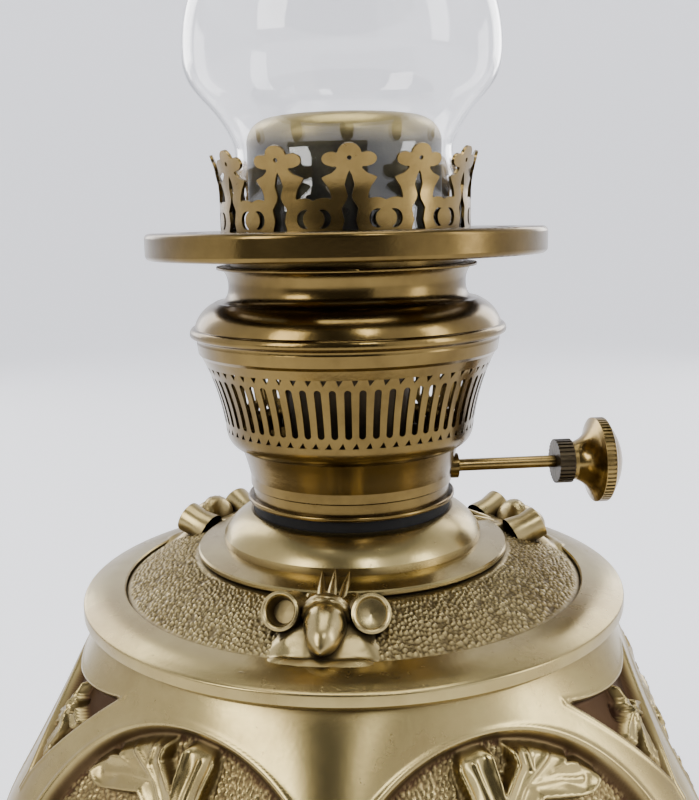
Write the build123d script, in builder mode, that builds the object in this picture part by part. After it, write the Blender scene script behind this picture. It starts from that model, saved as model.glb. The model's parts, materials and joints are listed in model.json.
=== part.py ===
from build123d import *
import os
from math import cos, hypot, pi, radians, sin, sqrt

# Round-wick oil lamp: a cast brass vase with leaf medallions holds a drop-in oil font, whose
# neck takes a screwed burner with a slotted basket, a crown gallery, a flame cap and a tall
# glass chimney.  Millimetres, +Z up, origin in the middle of the foot's underside.

os.makedirs("parts", exist_ok=True)

# ---------------------------------------------------------------- clearances
SHAFT_FIT = 0.06  # running fit round the spindle
SLIDE_FIT = 0.3  # gap between pieces that slide or lift apart
THREAD_GAP = 0.4  # radial room of the screwed joint

# ---------------------------------------------------------------- wick, tubes and raising gear
WICK_BORE_R = 13.8
WICK_T = 2.4
SLEEVE_T = 0.6  # brass sleeve clamped round the wick
SLEEVE_H = 12.5
TUBE_T = 0.6
WICK_SLIT = 12.0  # width of the slit that clears the side air duct
WICK_TAIL = 92.0  # wick below the burner's floor
WICK_DOWN = 12.0  # how far the wick winds down, and up
WICK_UP = 6.0
GEAR_PITCH_R = 4.0
GEAR_TEETH = 10
GEAR_ADDENDUM = 0.7
GEAR_DEDENDUM = 0.95
GEAR_W = 1.8
SPINDLE_R = 1.7
RACK_T = 1.6
TOOTH_TIP = 0.28  # half widths of a rack tooth
TOOTH_ROOT = 0.74
ARM_RISE = 12.0  # arm that joins rack and sleeve, above the spindle
ARM_H = 3.0
PLUG_T = 1.7

WICK_R = WICK_BORE_R + WICK_T
SLEEVE_R = WICK_R + SLEEVE_T
TUBE_BORE_R = SLEEVE_R + SLIDE_FIT
TUBE_R = TUBE_BORE_R + TUBE_T
DRAUGHT_R = WICK_BORE_R - SLIDE_FIT
RACK_X = TUBE_R + 2 * SLIDE_FIT
RACK_BACK = GEAR_PITCH_R + GEAR_DEDENDUM + RACK_T
GEAR_PITCH = 2 * pi * GEAR_PITCH_R / GEAR_TEETH
PLUG_BORE_R = hypot(RACK_X + GEAR_W, RACK_BACK) + 2 * SLIDE_FIT
PLUG_R = PLUG_BORE_R + PLUG_T
NECK_BORE_R = PLUG_R + THREAD_GAP
NECK_T = 2.6
NECK_R = NECK_BORE_R + NECK_T

# ---------------------------------------------------------------- vase
FOOT_H = 26.0
FOOT_SPREAD = 26.0  # foot rim beyond the waist
FOOT_LAND = 8.0  # width of the face that the lamp stands on
FOOT_EDGE = 5.0
FOOT_STEP_H = 12.0
COVER_T = 2.0
COVER_Z = 4.0
SCREW_IN = 5.0
SCREW_R = 1.9
SCREW_HEAD_R = 3.6
SCREW_HEAD_H = 2.4
SCREW_L = 8.0
SCREW_SLOT = 0.9
WAIST_R = 46.0
BODY_H = 154.8  # waist to shoulder
RING_BORE_R = 62.5
RING_W = 11.2
RING_RIM_H = 3.3
RING_COVE_H = 1.9
RING_CROWN = 2.3  # inner edge above the outer edge
RING_LEDGE_W = 2.0
RING_LEDGE_H = 3.3
SHOULDER_INSET = 3.9
WALL = 3.6
RECESS = 2.0
GROUND_T = 0.6
PROUD = 1.0
CORNERS = 6
TURN = -8.9  # the plain pilaster's angle from the front, seen from above

RING_R = RING_BORE_R + RING_W
SHOULDER_R = RING_R - SHOULDER_INSET
BODY_TOP = FOOT_H + BODY_H
RING_Z = BODY_TOP + RING_COVE_H + RING_RIM_H  # height of the ring's outer edge
LEDGE_R = RING_BORE_R - RING_LEDGE_W

# The urn is round where its corner outline runs inside its six facets.  Each outline is a slope
# down from the shoulder, an arc out to the belly and an arc back in to the waist.
FACET_TILT = 23.5
FACET_RUN = 46.0
FACET_BEND = 108.0
CORNER_TILT = 34.3
CORNER_RUN = 40.0
CORNER_BEND = 54.0
CORNER_SWELL = 0.5  # corners beyond the facets at the shoulder
MEDALLION_R = 43.0
MEDALLION_LIFT = 19.5  # how far each medallion looks upwards
LEAF_MARGIN = 8.0
# Right side of the oak leaf, from its tip to its stalk, as shares of its reach.
LEAF_LOBES = (
    (0.0, 1.0), (0.35, 0.78), (0.2, 0.55), (0.62, 0.42), (0.34, 0.12), (0.7, -0.1),
    (0.3, -0.3), (0.4, -0.6), (0.1, -0.62), (0.08, -0.95),
)
MEDALLION_SHIFT = 5.5  # centre's offset from the facet's middle, towards the pilaster
SPANDREL_HALF = 19.0
SPANDREL_DROP = 23.4  # middle of a spandrel, down the corner's slope
SPANDREL_CORNER = 17.4
SPANDREL_MID = 13.3
SPANDREL_TIP = 13.3

# ---------------------------------------------------------------- font
FONT_DEPTH = 92.0
FONT_T = 1.0
FONT_ROUND = 14.0
DECK_T = 1.2
DOME_T = 1.6
DOME_FLANGE_W = 4.4
DOME_RISE = 8.0
DOME_BULGE = 1.1
COLLAR_STEP = 7.3
COLLAR_EDGE = 1.6
OGEE_EDGE = 2.0
OGEE_SPREAD = 7.5
OGEE_RISE = 6.4
ACORN_R = 4.35
ACORN_L = 15.0
STUB_R = 4.55
STUB_GAP = 21.3  # centre to centre
CLUSTERS = 3
CLUSTER_TURN = -11.9
CLUSTER_LEAN = 62.0
ACORN_DIP = 24.0  # acorns point outwards and down
ACORN_TAPER = 13.0
STUB_LEAN = 18.0
STUB_L = 9.0
STUB_BORE_R = 3.25
PAD_T = 6.5
PAD_HALF = 9.5

NECK_LIP = 1.4
COLLAR_TOP_R = NECK_R + NECK_LIP
OGEE_R = COLLAR_TOP_R + OGEE_SPREAD
COLLAR_R = OGEE_R + COLLAR_STEP
FONT_R = LEDGE_R - 2 * SLIDE_FIT
LEDGE_Z = RING_Z + RING_CROWN - RING_LEDGE_H
DOME_R = RING_BORE_R - SLIDE_FIT
DOME_EDGE_Z = RING_Z + 1.2
COLLAR_Z = DOME_EDGE_Z + DOME_RISE
OGEE_Z = COLLAR_Z + COLLAR_EDGE + 1.2
NECK_TOP = OGEE_Z + OGEE_EDGE + OGEE_RISE
ACORN_RAD = (COLLAR_R + RING_BORE_R) / 2
GASKET_H = 3.0

# ---------------------------------------------------------------- burner
SHEET = 0.8
FLANGE_PROUD = 2.0
FLANGE_H = 1.3
PLUG_LEN = 13.0
SPINDLE_RISE = 6.6  # spindle above the burner's flange
GLAND_R = 3.5
GLAND_IN = 1.6
GLAND_OUT = 3.0
SLOTS = 64
SLOT_W = 1.7
SLOT_L = 12.6
SLOT_RISE = 28.8  # middle of the slots above the flange
PIP_W = 1.9
PIP_RISE = 8.0  # little triangles above and below the slots' middle
CAP_R = 25.4
CAP_T = 0.8
CAP_SHOULDER = 7.0
CAP_MOUTH_R = 19.6
DUCT_W = 9.0
DUCT_H = 13.0
DUCT_RISE = 27.0

FLANGE_Z = NECK_TOP + GASKET_H
FLANGE_R = NECK_R + FLANGE_PROUD
CUP_R = NECK_R + 0.4
SPINDLE_Z = FLANGE_Z + SPINDLE_RISE
# Turned outlines: distance beyond the cup's radius, height above the flange's underside.
# A run of two points is straight, and a longer one is a smooth curve.
CUP_RUNS = (
    ((0.0, 1.3), (0.0, 4.0)),
    ((0.0, 4.0), (0.7, 4.5)),
    ((0.7, 4.5), (0.7, 6.9)),
    ((0.7, 6.9), (1.1, 8.6), (1.7, 11.0), (2.9, 14.7)),
    ((2.9, 14.7), (5.3, 16.2), (6.8, 20.0)),
)
BASKET_RUNS = (
    ((6.8, 20.0), (8.4, 28.7), (11.5, 37.6)),
    ((11.5, 37.6), (12.6, 39.9)),
)
DOME_RUNS = (
    ((12.6, 39.9), (13.3, 40.7)),
    ((13.3, 40.7), (13.7, 43.5)),
    ((13.7, 43.5), (14.2, 44.8), (15.2, 45.2), (15.4, 46.2), (14.1, 47.5)),
    ((14.1, 47.5), (12.7, 50.5), (8.3, 54.0)),
    ((8.3, 54.0), (5.4, 55.3), (4.8, 57.5), (5.0, 60.2), (6.2, 62.4)),
)
RIM_H = 0.9
RIM_R = CUP_R + 7.8
RIM_Z = FLANGE_Z + 62.4

# ---------------------------------------------------------------- gallery, chimney
STEM_R = 1.3
STEM_COLLAR_R = 2.8
SEAT_DROP = 22.0
CAP_RISE = 28.5  # flame cap above the gallery ring
TUBE_BELOW_CAP = 5.6
GALLERY_R = 52.7
GALLERY_H = 6.8
GALLERY_RISE = 2.1
GALLERY_PLATE = 1.6
GALLERY_ROUND = 1.3
CROWN_H = 20.0
CROWN_T = 0.9
CROWN_FLARE = 2.5
PRONGS = 12
CROWN_TURN = -3.1
GAP_W = 8.0
GAP_LOW = 7.0
KEYHOLE_R = 1.2
GLASS_T = 2.0
GLASS_GAP = 1.2  # between the flame cap and the chimney's waist
GLASS_BASE = 2.9  # chimney foot beyond its waist
BULB_SWELL = 12.5
CHIMNEY_H = 276.0
TUBE_SHRINK = 6.6  # chimney top inside its waist
AIR_SLOT_W = 9.0
AIR_SLOTS = 6

WAIST_GLASS_R = CAP_R + GLASS_GAP + GLASS_T
GLASS_R = WAIST_GLASS_R + GLASS_BASE
CROWN_BORE_R = GLASS_R + 2 * SLIDE_FIT
GALLERY_Z = RIM_Z + RIM_H + GALLERY_RISE
GALLERY_TOP = GALLERY_Z + GALLERY_H
GALLERY_BORE_R = GLASS_R - GLASS_T - 0.8
CAP_TOP = GALLERY_TOP + CAP_RISE
TUBE_TOP = CAP_TOP - TUBE_BELOW_CAP
CROWN_RUNS = (
    ((CROWN_T, 0.0), (CROWN_T, 6.0)),
    ((CROWN_T, 6.0), (CROWN_T + 0.5, 12.0), (CROWN_T + CROWN_FLARE, CROWN_H)),
)
# Chimney outline: distance beyond its waist, height above its foot.
GLASS_RUNS = (
    ((GLASS_BASE, 0.0), (GLASS_BASE, 8.0)),
    (
        (GLASS_BASE, 8.0), (0.9, 14.6), (0.0, 21.4), (3.9, 29.0), (11.0, 37.7), (BULB_SWELL, 46.4),
        (10.5, 57.3), (4.1, 69.0), (-1.9, 82.0), (-5.0, 100.0), (-6.0, 125.0),
    ),
    ((-6.0, 125.0), (-TUBE_SHRINK, CHIMNEY_H)),
)

# ---------------------------------------------------------------- knob
SPINDLE_OUT = 62.0
BOSS_R = 6.2
BOSS_L = 4.4
KNOB_R = 11.9
KNOB_L = 14.6
KNOB_NECK_R = 5.4
KNURLS = 30


def wall_curve(start, tilt, run, bend, depth):
    """Key points of one side of the urn's outline, drawn in by a depth."""
    slope = radians(tilt)
    middle_r = start + run * sin(slope) - bend * cos(slope)
    middle_z = BODY_TOP - run * cos(slope) - bend * sin(slope)
    reach = bend - depth
    top = (start - depth / cos(slope), BODY_TOP)
    knee = (middle_r + reach * cos(slope), middle_z + reach * sin(slope))
    bow = (middle_r + reach * cos(slope / 2), middle_z + reach * sin(slope / 2))
    belly = (middle_r + reach, middle_z)
    waist = (WAIST_R - depth, FOOT_H)
    return top, knee, bow, belly, waist


def draw_wall(points, side=1):
    """Draw one side of the urn's outline in the current line."""
    top, knee, bow, belly, waist = [(side * r, z) for r, z in points]
    Line(top, knee)
    ThreePointArc(knee, bow, belly)
    TangentArc(belly, waist, tangent=(0, -1))


def urn(depth):
    """The six-sided urn with round corners, drawn in by a depth all round."""
    corner = wall_curve(SHOULDER_R + CORNER_SWELL, CORNER_TILT, CORNER_RUN, CORNER_BEND, depth)
    facet = wall_curve(SHOULDER_R, FACET_TILT, FACET_RUN, FACET_BEND, depth)
    with BuildPart() as solid:
        with BuildSketch(Plane.XZ):
            with BuildLine():
                draw_wall(corner)
                Polyline(corner[-1], (0, FOOT_H), (0, BODY_TOP), corner[0])
            make_face()
        revolve(axis=Axis.Z)
        for turn in (0, 60, 120):
            with BuildSketch(Plane.XZ.rotated((0, 0, TURN + turn))):
                with BuildLine():
                    draw_wall(facet, 1)
                    draw_wall(facet, -1)
                    Line(facet[-1], (-facet[-1][0], FOOT_H))
                    Line(facet[0], (-facet[0][0], BODY_TOP))
                make_face()
            extrude(amount=2 * SHOULDER_R, both=True, mode=Mode.INTERSECT)
    return solid.part


def outward_plane(angle, radius, height, shift, lift):
    """Plane that looks out from the axis and up by a lift, moved sideways by a shift."""
    away = radians(angle - 90)
    outward = Vector(cos(away), sin(away), 0)
    along = Vector(-sin(away), cos(away), 0)
    normal = outward * cos(radians(lift)) + Vector(0, 0, sin(radians(lift)))
    centre = outward * radius + along * shift + Vector(0, 0, height)
    return Plane(origin=centre, x_dir=along, z_dir=normal)


def medallion_plane(angle, shift):
    """Plane on a facet, where a medallion lies."""
    slope = radians(FACET_TILT)
    lift = radians(MEDALLION_LIFT)
    middle_r = SHOULDER_R + FACET_RUN * sin(slope) - FACET_BEND * cos(slope)
    middle_z = BODY_TOP - FACET_RUN * cos(slope) - FACET_BEND * sin(slope)
    radius = middle_r + FACET_BEND * cos(lift)
    height = middle_z + FACET_BEND * sin(lift)
    return outward_plane(angle, radius, height, shift, MEDALLION_LIFT)


def spandrel_plane(angle):
    """Plane on a corner's slope, under the shoulder ring."""
    slope = radians(CORNER_TILT)
    radius = SHOULDER_R + CORNER_SWELL + SPANDREL_DROP * sin(slope)
    return outward_plane(angle, radius, BODY_TOP - SPANDREL_DROP * cos(slope), 0, CORNER_TILT)


def draw_runs(runs, base, level, inset=0.0):
    """Draw a turned outline's runs in the current line."""
    for run in runs:
        points = [(base + beyond - inset, level + height) for beyond, height in run]
        if len(points) == 2:
            Line(*points)
        else:
            Spline(*points)


def turned_sheet(runs, base, level, thickness):
    """Thin turned shell: its outer outline, and the same outline inside it."""
    first = (base + runs[0][0][0], level + runs[0][0][1])
    last = (base + runs[-1][-1][0], level + runs[-1][-1][1])
    with BuildPart() as shell:
        with BuildSketch(Plane.XZ):
            with BuildLine():
                draw_runs(runs, base, level)
                draw_runs(runs, base, level, thickness)
                Line(first, (first[0] - thickness, first[1]))
                Line(last, (last[0] - thickness, last[1]))
            make_face()
        revolve(axis=Axis.Z)
    return shell.part


# ================================================================ vase
FOOT_R = WAIST_R + FOOT_SPREAD
COVER_R = FOOT_R - FOOT_LAND - SLIDE_FIT
SCREW_CIRCLE_R = COVER_R - SCREW_IN

with BuildPart() as foot_ring:
    with BuildSketch(Plane.XZ):
        with BuildLine():
            Polyline((FOOT_R - FOOT_LAND, 0), (FOOT_R, 0), (FOOT_R, FOOT_EDGE))
            ThreePointArc(
                (FOOT_R, FOOT_EDGE), (FOOT_R - 2.6, FOOT_EDGE + 3.4), (FOOT_R - 6, FOOT_EDGE + 4)
            )
            Line((FOOT_R - 6, FOOT_EDGE + 4), (FOOT_R - FOOT_LAND, FOOT_STEP_H))
            ThreePointArc(
                (FOOT_R - FOOT_LAND, FOOT_STEP_H), (WAIST_R + 7, FOOT_H - 8), (WAIST_R + 1.5, FOOT_H - 3)
            )
            Polyline(
                (WAIST_R + 1.5, FOOT_H - 3), (WAIST_R + 1.5, FOOT_H), (WAIST_R - 10, FOOT_H),
                (WAIST_R - 10, FOOT_H - 4), (WAIST_R - 4, FOOT_H - 6),
                (FOOT_R - FOOT_LAND - 10, COVER_Z + COVER_T), (FOOT_R - FOOT_LAND, COVER_Z + COVER_T),
                (FOOT_R - FOOT_LAND, 0),
            )
        make_face()
    revolve(axis=Axis.Z)
    with BuildSketch(Plane.XY.offset(COVER_Z + COVER_T)):
        with PolarLocations(SCREW_CIRCLE_R, 3):
            Circle(SCREW_R + SHAFT_FIT)
    extrude(amount=SCREW_L - COVER_T, mode=Mode.SUBTRACT)
foot_ring.part.label = "foot_ring"
export_step(foot_ring.part, "parts/foot_ring.step")

with BuildPart() as base_cover:
    with BuildSketch(Plane.XY.offset(COVER_Z)):
        Circle(COVER_R)
        with PolarLocations(SCREW_CIRCLE_R, 3):
            Circle(SCREW_R + SHAFT_FIT, mode=Mode.SUBTRACT)
    extrude(amount=COVER_T)
base_cover.part.label = "base_cover"
export_step(base_cover.part, "parts/base_cover.step")

with BuildPart() as base_screws:
    with BuildSketch(Plane.XY.offset(COVER_Z)):
        with PolarLocations(SCREW_CIRCLE_R, 3):
            Circle(SCREW_HEAD_R)
    extrude(amount=-SCREW_HEAD_H)
    with BuildSketch(Plane.XY.offset(COVER_Z)):
        with PolarLocations(SCREW_CIRCLE_R, 3):
            Circle(SCREW_R)
    extrude(amount=SCREW_L - 0.2)
    with BuildSketch(Plane.XY.offset(COVER_Z - SCREW_HEAD_H)):
        with PolarLocations(SCREW_CIRCLE_R, 3):
            Rectangle(2.2 * SCREW_HEAD_R, SCREW_SLOT)
    extrude(amount=SCREW_SLOT, mode=Mode.SUBTRACT)
base_screws.part.label = "base_screws"
export_step(base_screws.part, "parts/base_screws.step")

# Nested urns: outer skin, floor of the recesses, inner wall, and the relief's layers.
outer_urn = urn(0)
recess_urn = urn(RECESS)
inner_urn = urn(WALL)
ground_urn = urn(RECESS - GROUND_T)
proud_urn = urn(-PROUD)

# Six medallions, in pairs that lean towards the plain pilasters at TURN + 0, 120, 240 degrees.
MEDALLIONS = [
    (TURN + pilaster + side * 180 / CORNERS, -side * MEDALLION_SHIFT)
    for pilaster in (0, 120, 240)
    for side in (-1, 1)
]
SPANDRELS = [TURN + pilaster + 60 for pilaster in (0, 120, 240)]


def drum(angle, shift, radius):
    """Round cutter across the wall at a medallion."""
    with BuildPart() as solid:
        with BuildSketch(medallion_plane(angle, shift)):
            Circle(radius)
        extrude(amount=24, both=True)
    return solid.part


def spandrel_prism(angle, inset):
    """Three-cornered cutter under the ring, between two medallions."""
    half = SPANDREL_HALF - 1.8 * inset
    rise = SPANDREL_CORNER - 0.9 * inset
    crest = SPANDREL_MID - inset
    tip = SPANDREL_TIP - 2.3 * inset
    waist = SPANDREL_HALF * 0.38 - 1.1 * inset
    with BuildPart() as solid:
        with BuildSketch(spandrel_plane(angle)):
            with BuildLine():
                ThreePointArc((-half, rise), (0, crest), (half, rise))
                ThreePointArc((half, rise), (waist, 1.5), (0, -tip))
                ThreePointArc((0, -tip), (-waist, 1.5), (-half, rise))
            make_face()
        extrude(amount=16, both=True)
    return solid.part


with BuildPart() as vase_body:
    add(outer_urn)
    add(recess_urn, mode=Mode.SUBTRACT)
    for angle, shift in MEDALLIONS:
        add(drum(angle, shift, MEDALLION_R), mode=Mode.SUBTRACT)
    for angle in SPANDRELS:
        add(spandrel_prism(angle, 0), mode=Mode.SUBTRACT)
    add(recess_urn)
    add(inner_urn, mode=Mode.SUBTRACT)
vase_body.part.label = "vase_body"
export_step(vase_body.part, "parts/vase_body.step")

with BuildPart() as shoulder_ring:
    with BuildSketch(Plane.XZ):
        with BuildLine():
            Polyline((LEDGE_R, LEDGE_Z), (LEDGE_R, BODY_TOP), (SHOULDER_R + 1, BODY_TOP))
            RadiusArc((SHOULDER_R + 1, BODY_TOP), (RING_R - 1, BODY_TOP + RING_COVE_H), 3.2)
            Polyline(
                (RING_R - 1, BODY_TOP + RING_COVE_H), (RING_R, BODY_TOP + RING_COVE_H + 0.4),
                (RING_R, RING_Z - 0.6),
            )
            ThreePointArc(
                (RING_R, RING_Z - 0.6), (RING_R - 0.2, RING_Z - 0.15), (RING_R - 0.7, RING_Z + 0.15)
            )
            ThreePointArc(
                (RING_R - 0.7, RING_Z + 0.15),
                (RING_R - RING_W / 2, RING_Z + RING_CROWN / 2 + 0.35),
                (RING_BORE_R + 0.4, RING_Z + RING_CROWN),
            )
            Polyline(
                (RING_BORE_R + 0.4, RING_Z + RING_CROWN), (RING_BORE_R, RING_Z + RING_CROWN - 0.4),
                (RING_BORE_R, LEDGE_Z), (LEDGE_R, LEDGE_Z),
            )
        make_face()
    revolve(axis=Axis.Z)
shoulder_ring.part.label = "shoulder_ring"
export_step(shoulder_ring.part, "parts/shoulder_ring.step")

# Each medallion is a thin ground with a three-lobed oak leaf standing on it.
LEAF_REACH = MEDALLION_R - LEAF_MARGIN
for number, (angle, shift) in enumerate(MEDALLIONS, start=1):
    with BuildPart() as leaf_prism:
        with BuildSketch(medallion_plane(angle, shift)):
            with BuildLine():
                right = [(LEAF_REACH * x, LEAF_REACH * y) for x, y in LEAF_LOBES]
                left = [(-x, y) for x, y in reversed(right[1:])]
                Polyline(*right, *left, close=True)
            make_face()
        extrude(amount=24, both=True)
    with BuildPart() as leaf_layer:
        add(proud_urn)
        add(ground_urn, mode=Mode.SUBTRACT)
        add(leaf_prism.part, mode=Mode.INTERSECT)
    with BuildPart() as medallion:
        add(ground_urn)
        add(recess_urn, mode=Mode.SUBTRACT)
        add(drum(angle, shift, MEDALLION_R - SLIDE_FIT / 2), mode=Mode.INTERSECT)
        add(leaf_layer.part)
    medallion.part.label = f"leaf_medallion_{number}"
    export_step(medallion.part, f"parts/leaf_medallion_{number}.step")

for number, angle in enumerate(SPANDRELS, start=1):
    with BuildPart() as fretwork:
        add(ground_urn)
        add(recess_urn, mode=Mode.SUBTRACT)
        add(spandrel_prism(angle, SLIDE_FIT), mode=Mode.INTERSECT)
        with BuildSketch(spandrel_plane(angle)):
            with Locations((-4.6, 5.5), (4.6, 5.5), (0, -3.5)):
                SlotOverall(6.5, 2.2, rotation=70)
        extrude(amount=8, both=True, mode=Mode.SUBTRACT)
    fretwork.part.label = f"spandrel_leaf_{number}"
    export_step(fretwork.part, f"parts/spandrel_leaf_{number}.step")

# ================================================================ font
FONT_BOTTOM = LEDGE_Z - FONT_DEPTH
with BuildPart() as oil_font:
    with BuildSketch(Plane.XZ):
        with BuildLine():
            Polyline(
                (FONT_R - FONT_T, LEDGE_Z - DECK_T), (FONT_R, LEDGE_Z - DECK_T),
                (FONT_R, FONT_BOTTOM + FONT_ROUND),
            )
            RadiusArc((FONT_R, FONT_BOTTOM + FONT_ROUND), (FONT_R - FONT_ROUND, FONT_BOTTOM), FONT_ROUND)
            Polyline(
                (FONT_R - FONT_ROUND, FONT_BOTTOM), (0, FONT_BOTTOM), (0, FONT_BOTTOM + FONT_T),
                (FONT_R - FONT_ROUND, FONT_BOTTOM + FONT_T),
            )
            RadiusArc(
                (FONT_R - FONT_ROUND, FONT_BOTTOM + FONT_T), (FONT_R - FONT_T, FONT_BOTTOM + FONT_ROUND),
                -(FONT_ROUND - FONT_T),
            )
            Line((FONT_R - FONT_T, FONT_BOTTOM + FONT_ROUND), (FONT_R - FONT_T, LEDGE_Z - DECK_T))
        make_face()
    revolve(axis=Axis.Z)
oil_font.part.label = "oil_font"
export_step(oil_font.part, "parts/oil_font.step")

with BuildPart() as font_deck:
    with BuildSketch(Plane.XY.offset(LEDGE_Z - DECK_T)):
        Circle(FONT_R)
        Circle(NECK_BORE_R, mode=Mode.SUBTRACT)
    extrude(amount=DECK_T)
font_deck.part.label = "font_deck"
export_step(font_deck.part, "parts/font_deck.step")

DOME_IN_R = COLLAR_R - 2 * DOME_T
DOME_FOOT_R = DOME_R - DOME_FLANGE_W


def dome_arc(low, high, bulge):
    """Shallow arc over the shoulder, bowed outwards from its chord."""
    run = Vector(*high) - Vector(*low)
    side = Vector(-run.Y, run.X).normalized() * -bulge
    middle = (Vector(*low) + Vector(*high)) / 2 + side
    ThreePointArc(low, (middle.X, middle.Y), high)


with BuildPart() as shoulder_dome:
    with BuildSketch(Plane.XZ):
        with BuildLine():
            Line((DOME_R, LEDGE_Z), (DOME_R, DOME_EDGE_Z))
            dome_arc((DOME_R, DOME_EDGE_Z), (DOME_IN_R, COLLAR_Z), DOME_BULGE)
            Line((DOME_IN_R, COLLAR_Z), (DOME_IN_R, COLLAR_Z - DOME_T))
            dome_arc((DOME_FOOT_R, LEDGE_Z + 1.2), (DOME_IN_R, COLLAR_Z - DOME_T), DOME_BULGE)
            Polyline((DOME_FOOT_R, LEDGE_Z + 1.2), (DOME_FOOT_R, LEDGE_Z), (DOME_R, LEDGE_Z))
        make_face()
    revolve(axis=Axis.Z)
shoulder_dome.part.label = "shoulder_dome"
export_step(shoulder_dome.part, "parts/shoulder_dome.step")

with BuildPart() as collar_plate:
    with BuildSketch(Plane.XZ):
        with BuildLine():
            Polyline(
                (NECK_R, COLLAR_Z), (COLLAR_R - 0.4, COLLAR_Z), (COLLAR_R, COLLAR_Z + 0.4),
                (COLLAR_R, COLLAR_Z + COLLAR_EDGE - 0.4), (COLLAR_R - 0.4, COLLAR_Z + COLLAR_EDGE),
                (OGEE_R, OGEE_Z), (NECK_R, OGEE_Z), close=True,
            )
        make_face()
    revolve(axis=Axis.Z)
collar_plate.part.label = "collar_plate"
export_step(collar_plate.part, "parts/collar_plate.step")

with BuildPart() as collar_ogee:
    with BuildSketch(Plane.XZ):
        with BuildLine():
            Polyline((NECK_R, NECK_TOP), (NECK_R, OGEE_Z), (OGEE_R, OGEE_Z), (OGEE_R, OGEE_Z + OGEE_EDGE))
            ThreePointArc(
                (OGEE_R, OGEE_Z + OGEE_EDGE),
                (OGEE_R - OGEE_SPREAD / 2 + 0.6, OGEE_Z + OGEE_EDGE + OGEE_RISE / 2 + 0.7),
                (COLLAR_TOP_R, NECK_TOP),
            )
            Line((COLLAR_TOP_R, NECK_TOP), (NECK_R, NECK_TOP))
        make_face()
    revolve(axis=Axis.Z)
collar_ogee.part.label = "collar_ogee"
export_step(collar_ogee.part, "parts/collar_ogee.step")

with BuildPart() as neck_ring:
    with BuildSketch(Plane.XY.offset(LEDGE_Z)):
        Circle(NECK_R)
        Circle(NECK_BORE_R, mode=Mode.SUBTRACT)
    extrude(amount=NECK_TOP - LEDGE_Z)
neck_ring.part.label = "neck_ring"
export_step(neck_ring.part, "parts/neck_ring.step")

# Everything under the dome's outer face, which trims what lies on it.
with BuildPart() as dome_mass:
    with BuildSketch(Plane.XZ):
        with BuildLine():
            dome_arc((DOME_R, DOME_EDGE_Z), (DOME_IN_R, COLLAR_Z), DOME_BULGE)
            Polyline(
                (DOME_IN_R, COLLAR_Z), (0, COLLAR_Z), (0, LEDGE_Z - 9), (RING_R, LEDGE_Z - 9),
                (RING_R, DOME_EDGE_Z), (DOME_R, DOME_EDGE_Z),
            )
        make_face()
    revolve(axis=Axis.Z)

# An acorn between two cut twigs lies on the dome, three times round.
CLUSTER_Z = DOME_EDGE_Z + DOME_RISE / 2 + 1.2
for number in range(CLUSTERS):
    angle = CLUSTER_TURN + number * 360 / CLUSTERS
    lean = outward_plane(angle, ACORN_RAD, CLUSTER_Z, 0, CLUSTER_LEAN)
    nose = outward_plane(angle, ACORN_RAD - 5.0, CLUSTER_Z + 5.6, 0, -ACORN_DIP)
    with BuildPart() as acorn_cluster:
        with BuildSketch(lean.offset(-4)):
            Ellipse(STUB_GAP / 2 + 4, PAD_HALF)
        extrude(amount=PAD_T, taper=28)
        with BuildSketch(nose.offset(2)):
            Circle(ACORN_R)
        extrude(amount=ACORN_L - 4, taper=ACORN_TAPER)
        with BuildSketch(nose.offset(-2)):
            Circle(ACORN_R + 0.9)
        extrude(amount=4.5)
        for side in (-1, 1):
            twig = outward_plane(angle, ACORN_RAD - 6, CLUSTER_Z + 3.4, side * STUB_GAP / 2, STUB_LEAN)
            with BuildSketch(twig):
                Circle(STUB_R)
            extrude(amount=STUB_L)
        with BuildSketch(outward_plane(angle, ACORN_RAD - 6, CLUSTER_Z + 3.4, -STUB_GAP / 2, STUB_LEAN)
                         .offset(STUB_L + 0.5)):
            Circle(STUB_BORE_R)
        extrude(amount=-5, mode=Mode.SUBTRACT)
        add(dome_mass.part, mode=Mode.SUBTRACT)
        add(collar_plate.part, mode=Mode.SUBTRACT)
    acorn_cluster.part.label = f"acorn_cluster_{number + 1}"
    export_step(acorn_cluster.part, f"parts/acorn_cluster_{number + 1}.step")

# ================================================================ burner
with BuildPart() as neck_gasket:
    with BuildSketch(Plane.XY.offset(NECK_TOP)):
        Circle(NECK_R + 0.6)
        Circle(NECK_BORE_R, mode=Mode.SUBTRACT)
    extrude(amount=GASKET_H)
neck_gasket.part.label = "neck_gasket"
export_step(neck_gasket.part, "parts/neck_gasket.step")

with BuildPart() as burner_base:
    with BuildSketch(Plane.XZ):
        with BuildLine():
            Polyline(
                (FLANGE_R - 0.5, FLANGE_Z), (PLUG_R, FLANGE_Z), (PLUG_R, FLANGE_Z - PLUG_LEN),
                (PLUG_BORE_R, FLANGE_Z - PLUG_LEN), (PLUG_BORE_R, FLANGE_Z), (TUBE_R, FLANGE_Z),
                (TUBE_R, FLANGE_Z + FLANGE_H), (FLANGE_R - 0.5, FLANGE_Z + FLANGE_H),
            )
            ThreePointArc(
                (FLANGE_R - 0.5, FLANGE_Z + FLANGE_H), (FLANGE_R, FLANGE_Z + FLANGE_H / 2),
                (FLANGE_R - 0.5, FLANGE_Z),
            )
        make_face()
    revolve(axis=Axis.Z)
    with BuildSketch(Plane.XY.offset(FLANGE_Z - 1)):
        with Locations((RACK_X + GEAR_W / 2, -RACK_BACK / 2 - 1.4)):
            Rectangle(GEAR_W + 3 * SLIDE_FIT, RACK_BACK - 1.4)
    extrude(amount=FLANGE_H + 2, mode=Mode.SUBTRACT)
burner_base.part.label = "burner_base"
export_step(burner_base.part, "parts/burner_base.step")

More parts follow.
